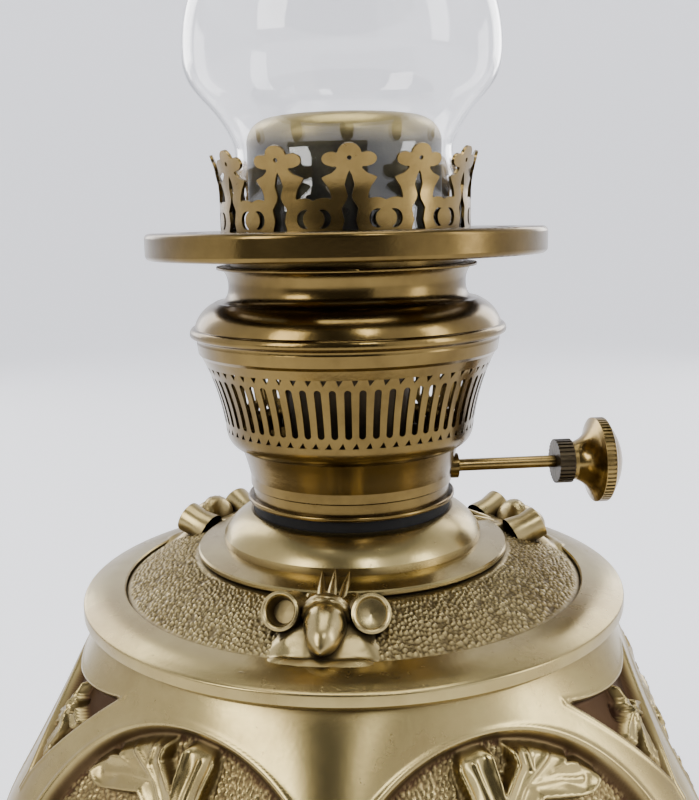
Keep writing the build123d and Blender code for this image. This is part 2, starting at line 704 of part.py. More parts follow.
with BuildPart() as spindle_gland:
    with BuildSketch(Plane.YZ.offset(CUP_R - GLAND_IN)):
        with Locations((0, SPINDLE_Z)):
            Circle(GLAND_R)
            Circle(SPINDLE_R + SHAFT_FIT, mode=Mode.SUBTRACT)
    extrude(amount=GLAND_IN + GLAND_OUT)
spindle_gland.part.label = "spindle_gland"
export_step(spindle_gland.part, "parts/spindle_gland.step")

with BuildPart() as burner_cup:
    add(turned_sheet(CUP_RUNS, CUP_R, FLANGE_Z, SHEET))
    with BuildSketch(Plane.YZ.offset(CUP_R - 6)):
        with Locations((0, SPINDLE_Z)):
            Circle(GLAND_R)
    extrude(amount=12, mode=Mode.SUBTRACT)
burner_cup.part.label = "burner_cup"
export_step(burner_cup.part, "parts/burner_cup.step")

BASKET_MID_R = CUP_R + 8.6
with BuildPart() as slot_cutter:
    with BuildSketch(Plane.YZ.offset(BASKET_MID_R - 6)):
        with Locations((0, FLANGE_Z + SLOT_RISE)):
            SlotOverall(SLOT_L, SLOT_W, rotation=90)
    extrude(amount=12)
with BuildPart() as pip_cutter:
    with BuildSketch(Plane.YZ.offset(BASKET_MID_R - 6)):
        with Locations((0, FLANGE_Z + SLOT_RISE + PIP_RISE)):
            Triangle(c=PIP_W, B=55, C=70, rotation=180, align=(Align.CENTER, Align.CENTER))
        with Locations((0, FLANGE_Z + SLOT_RISE - PIP_RISE)):
            Triangle(c=PIP_W, B=55, C=70, align=(Align.CENTER, Align.CENTER))
    extrude(amount=14)
with BuildPart() as slotted_basket:
    add(turned_sheet(BASKET_RUNS, CUP_R, FLANGE_Z, SHEET))
    with PolarLocations(0, SLOTS):
        add(slot_cutter.part, mode=Mode.SUBTRACT)
    with PolarLocations(0, SLOTS, start_angle=180 / SLOTS):
        add(pip_cutter.part, mode=Mode.SUBTRACT)
slotted_basket.part.label = "slotted_basket"
export_step(slotted_basket.part, "parts/slotted_basket.step")

with BuildPart() as burner_dome:
    add(turned_sheet(DOME_RUNS, CUP_R, FLANGE_Z, SHEET))
burner_dome.part.label = "burner_dome"
export_step(burner_dome.part, "parts/burner_dome.step")

RIM_BORE_R = CAP_R - CAP_T - 1.2
with BuildPart() as burner_rim:
    with BuildSketch(Plane.XY.offset(RIM_Z)):
        Circle(RIM_R)
        Circle(RIM_BORE_R, mode=Mode.SUBTRACT)
    extrude(amount=RIM_H)
    fillet(burner_rim.edges().filter_by(GeomType.CIRCLE).sort_by(SortBy.RADIUS)[-2:], 0.35)
burner_rim.part.label = "burner_rim"
export_step(burner_rim.part, "parts/burner_rim.step")

with BuildPart() as flame_cap:
    with BuildSketch(Plane.XZ):
        with BuildLine():
            foot = RIM_Z + RIM_H
            shoulder = CAP_TOP - CAP_SHOULDER
            inner = CAP_R - CAP_T
            Polyline(
                (inner, shoulder), (inner, foot), (GALLERY_BORE_R - 2 * SLIDE_FIT, foot),
                (GALLERY_BORE_R - 2 * SLIDE_FIT, foot + CAP_T), (CAP_R, foot + CAP_T), (CAP_R, shoulder),
            )
            bend = CAP_R - CAP_MOUTH_R
            ThreePointArc(
                (CAP_R, shoulder), (CAP_R - 0.3 * bend, CAP_TOP - 0.3 * CAP_SHOULDER), (CAP_MOUTH_R, CAP_TOP)
            )
            Line((CAP_MOUTH_R, CAP_TOP), (CAP_MOUTH_R, CAP_TOP - CAP_T))
            ThreePointArc(
                (CAP_MOUTH_R, CAP_TOP - CAP_T),
                (inner - 0.3 * bend, CAP_TOP - CAP_T - 0.3 * CAP_SHOULDER), (inner, shoulder),
            )
        make_face()
    revolve(axis=Axis.Z)
flame_cap.part.label = "flame_cap"
export_step(flame_cap.part, "parts/flame_cap.step")

# The side duct lets air through the wick's slit into the inner tube.
DUCT_Z = FLANGE_Z + DUCT_RISE
ARM_Z = SPINDLE_Z + ARM_RISE
RACK_LOW = SPINDLE_Z - WICK_UP - GEAR_PITCH_R + 1
RACK_HIGH = SPINDLE_Z + WICK_DOWN + GEAR_PITCH_R - 0.5
with BuildPart() as wick_tube:
    with BuildSketch(Plane.XY.offset(FLANGE_Z - PLUG_LEN)):
        Circle(TUBE_R)
        Circle(TUBE_BORE_R, mode=Mode.SUBTRACT)
    extrude(amount=TUBE_TOP - FLANGE_Z + PLUG_LEN)
    with BuildSketch(Plane.YZ):
        with Locations((0, DUCT_Z)):
            Rectangle(DUCT_W, DUCT_H)
    extrude(amount=-2 * TUBE_R, mode=Mode.SUBTRACT)
    with BuildSketch(Plane.YZ.offset(TUBE_BORE_R / 2)):
        with Locations((-RACK_BACK + RACK_T / 2, ARM_Z + (WICK_UP - WICK_DOWN) / 2)):
            Rectangle(RACK_T + 2 * SLIDE_FIT, WICK_UP + WICK_DOWN + ARM_H + 2)
    extrude(amount=TUBE_R, mode=Mode.SUBTRACT)
wick_tube.part.label = "wick_tube"
export_step(wick_tube.part, "parts/wick_tube.step")

DRAUGHT_FOOT = DUCT_Z - DUCT_H / 2 - 3
with BuildPart() as draught_tube:
    with BuildSketch(Plane.XY.offset(DRAUGHT_FOOT)):
        Circle(DRAUGHT_R)
    extrude(amount=TUBE_TOP + 0.6 - DRAUGHT_FOOT)
    with BuildSketch(Plane.XY.offset(DRAUGHT_FOOT + 1)):
        Circle(DRAUGHT_R - TUBE_T)
    extrude(amount=TUBE_TOP - DRAUGHT_FOOT, mode=Mode.SUBTRACT)
    with BuildSketch(Plane.YZ):
        with Locations((0, DUCT_Z)):
            Rectangle(DUCT_W, DUCT_H)
    extrude(amount=-2 * TUBE_R, mode=Mode.SUBTRACT)
draught_tube.part.label = "draught_tube"
export_step(draught_tube.part, "parts/draught_tube.step")

with BuildPart() as air_duct:
    with BuildSketch(Plane.YZ.offset(-TUBE_R - 0.8)):
        with Locations((0, DUCT_Z)):
            Rectangle(DUCT_W, DUCT_H)
            Rectangle(DUCT_W - 2 * TUBE_T, DUCT_H - 2 * TUBE_T, mode=Mode.SUBTRACT)
    extrude(amount=TUBE_R + 0.8 - DRAUGHT_R + 2.2)
air_duct.part.label = "air_duct"
export_step(air_duct.part, "parts/air_duct.step")

SPREADER_R = DRAUGHT_R - TUBE_T - SLIDE_FIT
SPREADER_Z = TUBE_TOP + 2.2
SEAT_Z = TUBE_TOP - SEAT_DROP
with BuildPart() as spreader_seat:
    with BuildSketch(Plane.XY.offset(SEAT_Z)):
        Rectangle(3, 2 * (DRAUGHT_R - TUBE_T) - 0.4)
        Rectangle(2 * (DRAUGHT_R - TUBE_T) - 0.4, 3)
        Circle(3.4)
        Circle(STEM_R + SLIDE_FIT, mode=Mode.SUBTRACT)
    extrude(amount=1.5)
spreader_seat.part.label = "spreader_seat"
export_step(spreader_seat.part, "parts/spreader_seat.step")

# ================================================================ flame spreader
with BuildPart() as flame_spreader:
    with BuildSketch(Plane.XZ):
        with BuildLine():
            Polyline(
                (0, SEAT_Z - 6), (STEM_R, SEAT_Z - 6), (STEM_R, SEAT_Z + 1.5),
                (STEM_COLLAR_R, SEAT_Z + 1.5), (STEM_COLLAR_R, SEAT_Z + 3), (STEM_R, SEAT_Z + 3),
                (STEM_R, SPREADER_Z - 0.4),
                (SPREADER_R, SPREADER_Z), (SPREADER_R, SPREADER_Z + 0.7),
            )
            ThreePointArc(
                (SPREADER_R, SPREADER_Z + 0.7), (SPREADER_R / 2, SPREADER_Z + 1.5), (1, SPREADER_Z + 1.8)
            )
            Polyline((1, SPREADER_Z + 1.8), (0, SPREADER_Z + 1.8), (0, SEAT_Z - 6))
        make_face()
    revolve(axis=Axis.Z)
flame_spreader.part.label = "flame_spreader"
export_step(flame_spreader.part, "parts/flame_spreader.step")

# ================================================================ wick and its raising gear
WICK_FOOT = FLANGE_Z - WICK_TAIL
SLIT_CENTRE_X = -(WICK_BORE_R + SLEEVE_R) / 2
SLEEVE_Z = SPINDLE_Z + 3
with BuildPart() as wick:
    with BuildSketch(Plane.XY.offset(WICK_FOOT)):
        Circle(WICK_R)
        Circle(WICK_BORE_R, mode=Mode.SUBTRACT)
        with Locations((SLIT_CENTRE_X, 0)):
            Rectangle(SLEEVE_R, WICK_SLIT, mode=Mode.SUBTRACT)
    extrude(amount=TUBE_TOP - 0.4 - WICK_FOOT)
wick.part.label = "wick"
export_step(wick.part, "parts/wick.step")

with BuildPart() as wick_sleeve:
    with BuildSketch(Plane.XY.offset(SLEEVE_Z)):
        Circle(SLEEVE_R)
        Circle(WICK_R, mode=Mode.SUBTRACT)
        with Locations((SLIT_CENTRE_X, 0)):
            Rectangle(SLEEVE_R, WICK_SLIT, mode=Mode.SUBTRACT)
    extrude(amount=SLEEVE_H)
wick_sleeve.part.label = "wick_sleeve"
export_step(wick_sleeve.part, "parts/wick_sleeve.step")

RACK_Y = -GEAR_PITCH_R - GEAR_DEDENDUM
RACK_TIP_Y = RACK_Y + GEAR_ADDENDUM + GEAR_DEDENDUM
ARM_X = sqrt(WICK_R**2 - RACK_BACK**2)
with BuildPart() as wick_rack:
    with BuildSketch(Plane.YZ.offset(RACK_X)):
        with Locations((RACK_Y - RACK_T / 2, (RACK_LOW + RACK_HIGH) / 2)):
            Rectangle(RACK_T, RACK_HIGH - RACK_LOW)
        with BuildLine():
            for step in range(-4, 6):
                level = SPINDLE_Z + (step + 0.5) * GEAR_PITCH
                Polyline(
                    (RACK_Y - 0.2, level - TOOTH_ROOT), (RACK_TIP_Y, level - TOOTH_TIP),
                    (RACK_TIP_Y, level + TOOTH_TIP), (RACK_Y - 0.2, level + TOOTH_ROOT), close=True,
                )
        make_face()
    extrude(amount=GEAR_W)
    with BuildSketch(Plane.YZ.offset(ARM_X)):
        with Locations((RACK_Y - RACK_T / 2, ARM_Z)):
            Rectangle(RACK_T, ARM_H)
    extrude(amount=RACK_X + 0.5 - ARM_X)
    add(wick_sleeve.part, mode=Mode.SUBTRACT)
    add(wick.part, mode=Mode.SUBTRACT)
wick_rack.part.label = "wick_rack"
export_step(wick_rack.part, "parts/wick_rack.step")

with BuildPart() as wick_pinion:
    with BuildSketch(Plane.YZ.offset(RACK_X)):
        with Locations((0, SPINDLE_Z)):
            Circle(GEAR_PITCH_R - GEAR_DEDENDUM)
            with PolarLocations(0, GEAR_TEETH, start_angle=180):
                with Locations((GEAR_PITCH_R - GEAR_DEDENDUM / 2 + GEAR_ADDENDUM / 2, 0)):
                    Trapezoid(
                        2 * TOOTH_ROOT, GEAR_ADDENDUM + GEAR_DEDENDUM + 0.3, 74.5, rotation=-90,
                    )
            Circle(SPINDLE_R, mode=Mode.SUBTRACT)
    extrude(amount=GEAR_W)
wick_pinion.part.label = "wick_pinion"
export_step(wick_pinion.part, "parts/wick_pinion.step")

BOSS_X = SPINDLE_OUT - BOSS_L
with BuildPart() as wick_spindle:
    with BuildSketch(Plane.YZ.offset(RACK_X)):
        with Locations((0, SPINDLE_Z)):
            Circle(SPINDLE_R)
    extrude(amount=SPINDLE_OUT - RACK_X)
wick_spindle.part.label = "wick_spindle"
export_step(wick_spindle.part, "parts/wick_spindle.step")

with BuildPart() as knob_boss:
    with BuildSketch(Plane.YZ.offset(BOSS_X)):
        with Locations((0, SPINDLE_Z)):
            Circle(BOSS_R)
            with PolarLocations(BOSS_R, KNURLS):
                Rectangle(0.7, 0.6, mode=Mode.SUBTRACT)
            Circle(SPINDLE_R, mode=Mode.SUBTRACT)
    extrude(amount=BOSS_L)
knob_boss.part.label = "knob_boss"
export_step(knob_boss.part, "parts/knob_boss.step")

with BuildPart() as wick_knob:
    with BuildSketch(Plane.XZ):
        with BuildLine():
            tip = SPINDLE_OUT + KNOB_L
            Polyline(
                (SPINDLE_OUT, SPINDLE_Z), (SPINDLE_OUT, SPINDLE_Z + KNOB_NECK_R),
                (SPINDLE_OUT + 1.2, SPINDLE_Z + KNOB_NECK_R),
            )
            Spline(
                (SPINDLE_OUT + 1.2, SPINDLE_Z + KNOB_NECK_R),
                (SPINDLE_OUT + 3.4, SPINDLE_Z + KNOB_NECK_R + 1.1),
                (SPINDLE_OUT + 6.2, SPINDLE_Z + KNOB_R - 1.4),
            )
            Polyline(
                (SPINDLE_OUT + 6.2, SPINDLE_Z + KNOB_R - 1.4), (SPINDLE_OUT + 6.8, SPINDLE_Z + KNOB_R),
                (SPINDLE_OUT + 9.6, SPINDLE_Z + KNOB_R), (SPINDLE_OUT + 10.2, SPINDLE_Z + KNOB_R - 1),
            )
            ThreePointArc(
                (SPINDLE_OUT + 10.2, SPINDLE_Z + KNOB_R - 1),
                (SPINDLE_OUT + 13.1, SPINDLE_Z + KNOB_R / 2), (tip, SPINDLE_Z + 1),
            )
            Polyline((tip, SPINDLE_Z + 1), (tip, SPINDLE_Z), (SPINDLE_OUT, SPINDLE_Z))
        make_face()
    revolve(axis=Axis((0, 0, SPINDLE_Z), (1, 0, 0)))
    with BuildSketch(Plane.YZ.offset(SPINDLE_OUT + 7)):
        with Locations((0, SPINDLE_Z)):
            with PolarLocations(KNOB_R, 2 * KNURLS):
                Rectangle(0.7, 0.6)
    extrude(amount=2.4, mode=Mode.SUBTRACT)
wick_knob.part.label = "wick_knob"
export_step(wick_knob.part, "parts/wick_knob.step")

# ================================================================ gallery
with BuildPart() as gallery_ring:
    with BuildSketch(Plane.XZ):
        with BuildLine():
            Polyline(
                (GALLERY_R - GALLERY_ROUND, GALLERY_Z), (GALLERY_R - 2.4, GALLERY_Z),
                (GALLERY_R - 2.4, GALLERY_TOP - GALLERY_PLATE),
                (GALLERY_BORE_R + 2.2, GALLERY_TOP - GALLERY_PLATE), (GALLERY_BORE_R + 2.2, RIM_Z + RIM_H),
                (GALLERY_BORE_R, RIM_Z + RIM_H), (GALLERY_BORE_R, GALLERY_TOP),
                (GALLERY_R - GALLERY_ROUND, GALLERY_TOP),
            )
            RadiusArc(
                (GALLERY_R - GALLERY_ROUND, GALLERY_TOP), (GALLERY_R, GALLERY_TOP - GALLERY_ROUND),
                GALLERY_ROUND,
            )
            Line((GALLERY_R, GALLERY_TOP - GALLERY_ROUND), (GALLERY_R, GALLERY_Z + GALLERY_ROUND))
            RadiusArc(
                (GALLERY_R, GALLERY_Z + GALLERY_ROUND), (GALLERY_R - GALLERY_ROUND, GALLERY_Z),
                GALLERY_ROUND,
            )
        make_face()
    revolve(axis=Axis.Z)
    with BuildSketch(Plane.XY.offset(GALLERY_TOP + 1)):
        with PolarLocations(0, AIR_SLOTS, start_angle=360 / AIR_SLOTS / 2):
            SlotArc(
                CenterArc((0, 0), (CROWN_BORE_R + GALLERY_R) / 2, -18, 36).edge(), AIR_SLOT_W / 2
            )
    extrude(amount=-GALLERY_PLATE - 2, mode=Mode.SUBTRACT)
gallery_ring.part.label = "gallery_ring"
export_step(gallery_ring.part, "parts/gallery_ring.step")

with BuildPart() as gap_cutter:
    with BuildSketch(Plane.YZ.offset(CROWN_BORE_R - 4)):
        with Locations((0, GALLERY_TOP + GAP_LOW)):
            Circle(GAP_W / 2)
        with Locations((0, GALLERY_TOP + GAP_LOW + 20)):
            Rectangle(GAP_W, 40)
    extrude(amount=12)
with BuildPart() as keyhole_cutter:
    with BuildSketch(Plane.YZ.offset(CROWN_BORE_R - 4)):
        with Locations((0, GALLERY_TOP + 3.5), (0, GALLERY_TOP + 14.5)):
            Circle(KEYHOLE_R)
        with Locations((0, GALLERY_TOP + 8)):
            Rectangle(KEYHOLE_R, 10)
    extrude(amount=12)
with BuildPart() as crown_gallery:
    add(turned_sheet(CROWN_RUNS, CROWN_BORE_R, GALLERY_TOP, CROWN_T))
    with PolarLocations(0, PRONGS, start_angle=CROWN_TURN - 90 + 180 / PRONGS):
        add(gap_cutter.part, mode=Mode.SUBTRACT)
    with PolarLocations(0, PRONGS, start_angle=CROWN_TURN - 90):
        add(keyhole_cutter.part, mode=Mode.SUBTRACT)
crown_gallery.part.label = "crown_gallery"
export_step(crown_gallery.part, "parts/crown_gallery.step")

# ================================================================ chimney
with BuildPart() as glass_chimney:
    add(turned_sheet(GLASS_RUNS, WAIST_GLASS_R, GALLERY_TOP, GLASS_T))
glass_chimney.part.label = "glass_chimney"
export_step(glass_chimney.part, "parts/glass_chimney.step")
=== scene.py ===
import json
from math import cos, pi, radians, sin

import bmesh
import bpy
import numpy as np
from mathutils import Matrix, Vector


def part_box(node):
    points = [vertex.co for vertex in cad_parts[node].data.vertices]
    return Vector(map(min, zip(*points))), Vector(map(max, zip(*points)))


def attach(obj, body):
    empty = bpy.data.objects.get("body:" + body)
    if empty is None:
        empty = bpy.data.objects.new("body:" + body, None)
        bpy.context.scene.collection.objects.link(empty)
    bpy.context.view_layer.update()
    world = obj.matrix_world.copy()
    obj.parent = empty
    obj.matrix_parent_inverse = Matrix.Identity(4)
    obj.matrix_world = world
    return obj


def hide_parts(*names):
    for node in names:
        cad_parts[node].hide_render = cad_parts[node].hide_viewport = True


# Round-wick brass oil lamp.  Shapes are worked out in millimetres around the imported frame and
# turned into metres as each mesh is made.
MM = 0.001
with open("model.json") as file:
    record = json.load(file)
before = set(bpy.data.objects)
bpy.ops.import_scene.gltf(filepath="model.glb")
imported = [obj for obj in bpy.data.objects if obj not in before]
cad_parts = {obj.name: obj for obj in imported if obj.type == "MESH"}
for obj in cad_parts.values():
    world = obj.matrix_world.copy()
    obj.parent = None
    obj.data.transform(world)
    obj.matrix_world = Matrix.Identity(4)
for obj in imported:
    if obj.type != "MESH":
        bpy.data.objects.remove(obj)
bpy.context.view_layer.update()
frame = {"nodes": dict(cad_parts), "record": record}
NODES = frame["nodes"]


def node_box(name):
    """Lowest and highest corners of a CAD node, in millimetres."""
    low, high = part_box(name)
    return np.array(low) / MM, np.array(high) / MM


def node_radius(name):
    """Largest distance of a CAD node's points from the lamp's axis, in millimetres."""
    points = np.array([vertex.co for vertex in NODES[name].data.vertices])
    return np.hypot(points[:, 0], points[:, 1]).max() / MM


# ---------------------------------------------------------------- sizes that the frame gives
FOOT_TOP, BODY_TOP = node_box("vase_body")[0][2], node_box("vase_body")[1][2]
RING_R = node_radius("shoulder_ring")
RING_TOP = node_box("shoulder_ring")[1][2]
DOME_R = node_radius("shoulder_dome")
DOME_FOOT = node_box("shoulder_dome")[0][2]
COLLAR_R = node_radius("collar_plate")
COLLAR_Z, COLLAR_TOP = node_box("collar_plate")[0][2], node_box("collar_plate")[1][2]
OGEE_R = node_radius("collar_ogee")
GALLERY_TOP = node_box("gallery_ring")[1][2]

# ---------------------------------------------------------------- the urn's outline
TURN = -8.9  # plain pilaster's angle from the front
SHOULDER_R = 69.8
WAIST_R = 46.0
FACET_TILT, FACET_RUN, FACET_BEND = 23.5, 46.0, 108.0
CORNER_TILT, CORNER_RUN, CORNER_BEND = 34.3, 40.0, 54.0
CORNER_SWELL = 0.5
CORNER_POWER = 14.3  # sharpness of the rounded hexagon's corners
MEDALLION_R = 45.0
MEDALLION_LIFT = 19.5
MEDALLION_SHIFT = 5.5
MEDALLION_DEPTH = 3.0
MEDALLION_RIM = 4  # the urn's face can be shaped this far outside a medallion
SPANDREL_DROP = 23.4
SPANDREL_DEPTH = 3.2
# half width at the top, height of the top's corners and middle, depth of the lower tip
SPANDREL_HALF, SPANDREL_RISE, SPANDREL_CREST, SPANDREL_TIP = 19.0, 17.4, 13.3, 13.3
RELIEF_DIP = 20  # degrees below level in which the relief is pressed in
GRAIN = 1.25  # size of the hammered ground's grains


# ---------------------------------------------------------------- small tools
def smoothstep(low, high, value):
    """From 0 at low to 1 at high, with a smooth start and end."""
    share = np.clip((value - low) / (high - low), 0, 1)
    return share * share * (3 - 2 * share)


def scatter(i, j, seed):
    """Fixed pseudo-random numbers between 0 and 1, one for each cell (i, j)."""
    mixed = np.sin(i * 127.1 + j * 311.7 + seed * 74.7) * 43758.5453
    return mixed - np.floor(mixed)


def pebbles(u, v, size, seed=0):
    """Hammered ground: rounded grains of about one size, from 0 in the pits to 1 on top."""
    p, q = u / size, v / size
    i, j = np.floor(p), np.floor(q)
    nearest = np.full(p.shape, 9.0)
    second = np.full(p.shape, 9.0)
    for di in (-1, 0, 1):
        for dj in (-1, 0, 1):
            x = i + di + scatter(i + di, j + dj, seed)
            y = j + dj + scatter(i + di, j + dj, seed + 5)
            away = np.hypot(p - x, q - y)
            second = np.minimum(second, np.maximum(nearest, away))
            nearest = np.minimum(nearest, away)
    return smoothstep(0.0, 0.55, second - nearest)


def waves(u, v, size, seed=0):
    """Smooth random field between -1 and 1."""
    p, q = u / size, v / size
    i, j = np.floor(p), np.floor(q)
    a, b = smoothstep(0, 1, p - i), smoothstep(0, 1, q - j)
    low = scatter(i, j, seed) * (1 - a) + scatter(i + 1, j, seed) * a
    high = scatter(i, j + 1, seed) * (1 - a) + scatter(i + 1, j + 1, seed) * a
    return 2 * (low * (1 - b) + high * b) - 1


def new_object(name, points, faces, body, slot, replaced=(), patina_and_shade=None):
    """Mesh object in metres from millimetre points, riding on a body."""
    mesh = bpy.data.meshes.new(name)
    mesh.from_pydata((np.asarray(points, float) * MM).tolist(), [], faces)
    mesh.polygons.foreach_set("use_smooth", [True] * len(mesh.polygons))
    if patina_and_shade is not None:
        layer = mesh.attributes.new("patina_and_shade", "FLOAT", "POINT")
        layer.data.foreach_set("value", np.asarray(patina_and_shade, np.float32))
    mesh.update()
    piece = bpy.data.objects.new(name, mesh)
    bpy.context.scene.collection.objects.link(piece)
    piece.data.materials.append(MATERIALS[slot])
    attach(piece, body)
    if replaced:
        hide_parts(*replaced)
    return piece


def grid_faces(rows, columns, wrap=False):
    """Quads of a grid of rows x columns points; wrap joins the last column to the first."""
    last = columns if wrap else columns - 1
    r, c = np.meshgrid(np.arange(rows - 1), np.arange(last), indexing="ij")
    n = (c + 1) % columns
    quads = np.stack([r * columns + c, r * columns + n, (r + 1) * columns + n, (r + 1) * columns + c], -1)
    return quads.reshape(-1, 4).tolist()


def turned(name, outline, body, slot, replaced, steps):
    """Turned piece: a closed outline of (radius, height), revolved round the lamp's axis."""
    outline = np.array(outline, float)
    outline = np.vstack([outline, outline[:1]])
    turns = np.arange(steps) * 2 * pi / steps
    radius, height = outline[:, :1], outline[:, 1:]
    x = radius * np.cos(turns)
    y = radius * np.sin(turns)
    z = height + 0 * x
    points = np.stack([x, y, z], -1).reshape(-1, 3)
    faces = [face[::-1] for face in grid_faces(len(outline), steps, wrap=True)]
    piece = new_object(name, points, faces, body, slot, replaced)
    weld_and_sharpen(piece)


def weld_and_sharpen(piece, angle=38):
    """Join doubled points and keep the creases crisp."""
    work = bmesh.new()
    work.from_mesh(piece.data)
    bmesh.ops.remove_doubles(work, verts=work.verts, dist=1e-6)
    bmesh.ops.recalc_face_normals(work, faces=work.faces)
    for edge in work.edges:
        edge.smooth = not (edge.is_manifold and edge.calc_face_angle(0) > radians(angle))
    work.to_mesh(piece.data)
    work.free()


def curve_points(points, steps=8):
    """Smooth Catmull-Rom curve through outline points."""
    points = [np.array(point, float) for point in points]
    ends = [2 * points[0] - points[1], *points, 2 * points[-1] - points[-2]]
    out = []
    for a, b, c, d in zip(ends, ends[1:], ends[2:], ends[3:]):
        for step in range(steps):
            t = step / steps
            out.append(0.5 * (2 * b + (c - a) * t + (2 * a - 5 * b + 4 * c - d) * t**2
                              + (3 * b - 3 * c + d - a) * t**3))
    out.append(points[-1])
    return out


# ---------------------------------------------------------------- materials
def node(tree, kind, **inputs):
    """New shader node with its input values set."""
    made = tree.nodes.new(kind)
    for key, value in inputs.items():
        made.inputs[key].default_value = value
    return made


def start_material(name):
    """New node material, its node tree and its shader."""
    material = bpy.data.materials.new(name)
    material.use_nodes = True
    tree = material.node_tree
    return material, tree, tree.nodes["Principled BSDF"]


def maximum(tree, first, second):
    """Larger of two sockets."""
    made = tree.nodes.new("ShaderNodeMath")
    made.operation = "MAXIMUM"
    tree.links.new(first, made.inputs[0])
    tree.links.new(second, made.inputs[1])
    return made.outputs[0]


CLOUD_SCALE, SPECK_SCALE, FINE_SCALE = 38.0, 420.0, 900.0  # per metre
SPECK_STRENGTH = 0.15
CAVITY_REACH = 0.006  # metres
SOIL_AND_SHADE_ROUGHNESS = 0.35  # how much rougher specks, patina and painted shade make the metal


def brass(name, bright, dull, dark, rough, grain, occlusion_strength):
    """Brass with a dull bloom, worn bright patches, hollows darkened by patina and painted shade, and a fine
    surface grain.
    """
    material, tree, shader = start_material(name)
    link = tree.links.new
    shader.inputs["Metallic"].default_value = 1.0
    where = tree.nodes.new("ShaderNodeTexCoord")
    cloud = node(tree, "ShaderNodeTexNoise", Scale=CLOUD_SCALE, Detail=5.0, Roughness=0.62)
    link(where.outputs["Object"], cloud.inputs["Vector"])
    spread = node(tree, "ShaderNodeMapRange", **{"From Min": 0.32, "From Max": 0.68})
    link(cloud.outputs["Fac"], spread.inputs["Value"])
    tone = tree.nodes.new("ShaderNodeMixRGB")
    tone.inputs[1].default_value = (*dull, 1)
    tone.inputs[2].default_value = (*bright, 1)
    link(spread.outputs["Result"], tone.inputs[0])
    speck = node(tree, "ShaderNodeTexNoise", Scale=SPECK_SCALE, Detail=4.0, Roughness=0.7)
    link(where.outputs["Object"], speck.inputs["Vector"])
    spots = node(tree, "ShaderNodeMapRange", **{"From Min": 0.62, "From Max": 0.74,
                                                "To Max": SPECK_STRENGTH})
    link(speck.outputs["Fac"], spots.inputs["Value"])
    # Painted shade: an occlusion mask darkens the colour in hollows, slots and creases. It stands for the
    # patina there and for the shade that falls in them.
    cavity = node(tree, "ShaderNodeAmbientOcclusion", Distance=CAVITY_REACH)
    cavity.samples = 6
    occluded_patina_and_shade = node(tree, "ShaderNodeMapRange", **{"From Min": 0.75, "From Max": 0.2, "To Max": occlusion_strength})
    link(cavity.outputs["AO"], occluded_patina_and_shade.inputs["Value"])
    # Baked marks: patina in the grounds and pits, and painted shade in the spandrels' openings.
    shade_and_patina_mark = tree.nodes.new("ShaderNodeAttribute")
    shade_and_patina_mark.attribute_name = "patina_and_shade"
    darkest = maximum(tree, occluded_patina_and_shade.outputs["Result"], shade_and_patina_mark.outputs["Fac"])
    soil_and_shade = maximum(tree, darkest, spots.outputs["Result"])
    colour = tree.nodes.new("ShaderNodeMixRGB")
    colour.inputs[2].default_value = (*dark, 1)
    link(soil_and_shade, colour.inputs[0])
    link(tone.outputs[0], colour.inputs[1])
    link(colour.outputs[0], shader.inputs["Base Color"])
    matt = node(tree, "ShaderNodeMapRange", **{"From Min": 0.3, "From Max": 0.7,
                                               "To Min": rough[1], "To Max": rough[0]})
    link(cloud.outputs["Fac"], matt.inputs["Value"])
    matter = tree.nodes.new("ShaderNodeMath")
    matter.operation = "MULTIPLY_ADD"
    matter.inputs[1].default_value = SOIL_AND_SHADE_ROUGHNESS
    link(soil_and_shade, matter.inputs[0])
    link(matt.outputs["Result"], matter.inputs[2])
    link(matter.outputs[0], shader.inputs["Roughness"])
    fine = node(tree, "ShaderNodeTexNoise", Scale=FINE_SCALE, Detail=3.0)
    link(where.outputs["Object"], fine.inputs["Vector"])
    bump = node(tree, "ShaderNodeBump", Strength=grain, Distance=0.0004)
    link(fine.outputs["Fac"], bump.inputs["Height"])
    link(bump.outputs["Normal"], shader.inputs["Normal"])
    return material


def clear_glass(name):
    """Clear blown glass, faintly wavy."""
    material, tree, shader = start_material(name)
    shader.inputs["Base Color"].default_value = (1, 1, 1, 1)
    shader.inputs["Roughness"].default_value = 0.0
    shader.inputs["IOR"].default_value = 1.45
    shader.inputs["Transmission Weight"].default_value = 1.0
    where = tree.nodes.new("ShaderNodeTexCoord")
    sway = node(tree, "ShaderNodeTexNoise", Scale=30.0, Detail=1.0)
    tree.links.new(where.outputs["Object"], sway.inputs["Vector"])
    bump = node(tree, "ShaderNodeBump", Strength=0.12, Distance=0.002)
    tree.links.new(sway.outputs["Fac"], bump.inputs["Height"])
    tree.links.new(bump.outputs["Normal"], shader.inputs["Normal"])
    return material


def plain(name, first, second, rough, metal=0.0, scale=300.0, strength=0.3, shine=0.5):
    """Two-tone mottled surface for the small parts."""
    material, tree, shader = start_material(name)
    shader.inputs["Metallic"].default_value = metal
    shader.inputs["Roughness"].default_value = rough
    shader.inputs["Specular IOR Level"].default_value = shine
    where = tree.nodes.new("ShaderNodeTexCoord")
    cloud = node(tree, "ShaderNodeTexNoise", Scale=scale, Detail=4.0)
    tree.links.new(where.outputs["Object"], cloud.inputs["Vector"])
    tone = tree.nodes.new("ShaderNodeMixRGB")
    tone.inputs[1].default_value = (*first, 1)
    tone.inputs[2].default_value = (*second, 1)
    tree.links.new(cloud.outputs["Fac"], tone.inputs[0])
    tree.links.new(tone.outputs[0], shader.inputs["Base Color"])
    bump = node(tree, "ShaderNodeBump", Strength=strength, Distance=0.0003)
    tree.links.new(cloud.outputs["Fac"], bump.inputs["Height"])
    tree.links.new(bump.outputs["Normal"], shader.inputs["Normal"])
    return material


CAP_SIDE = 0.0075  # metres from the cap's top down to where the painted shade on its side begins
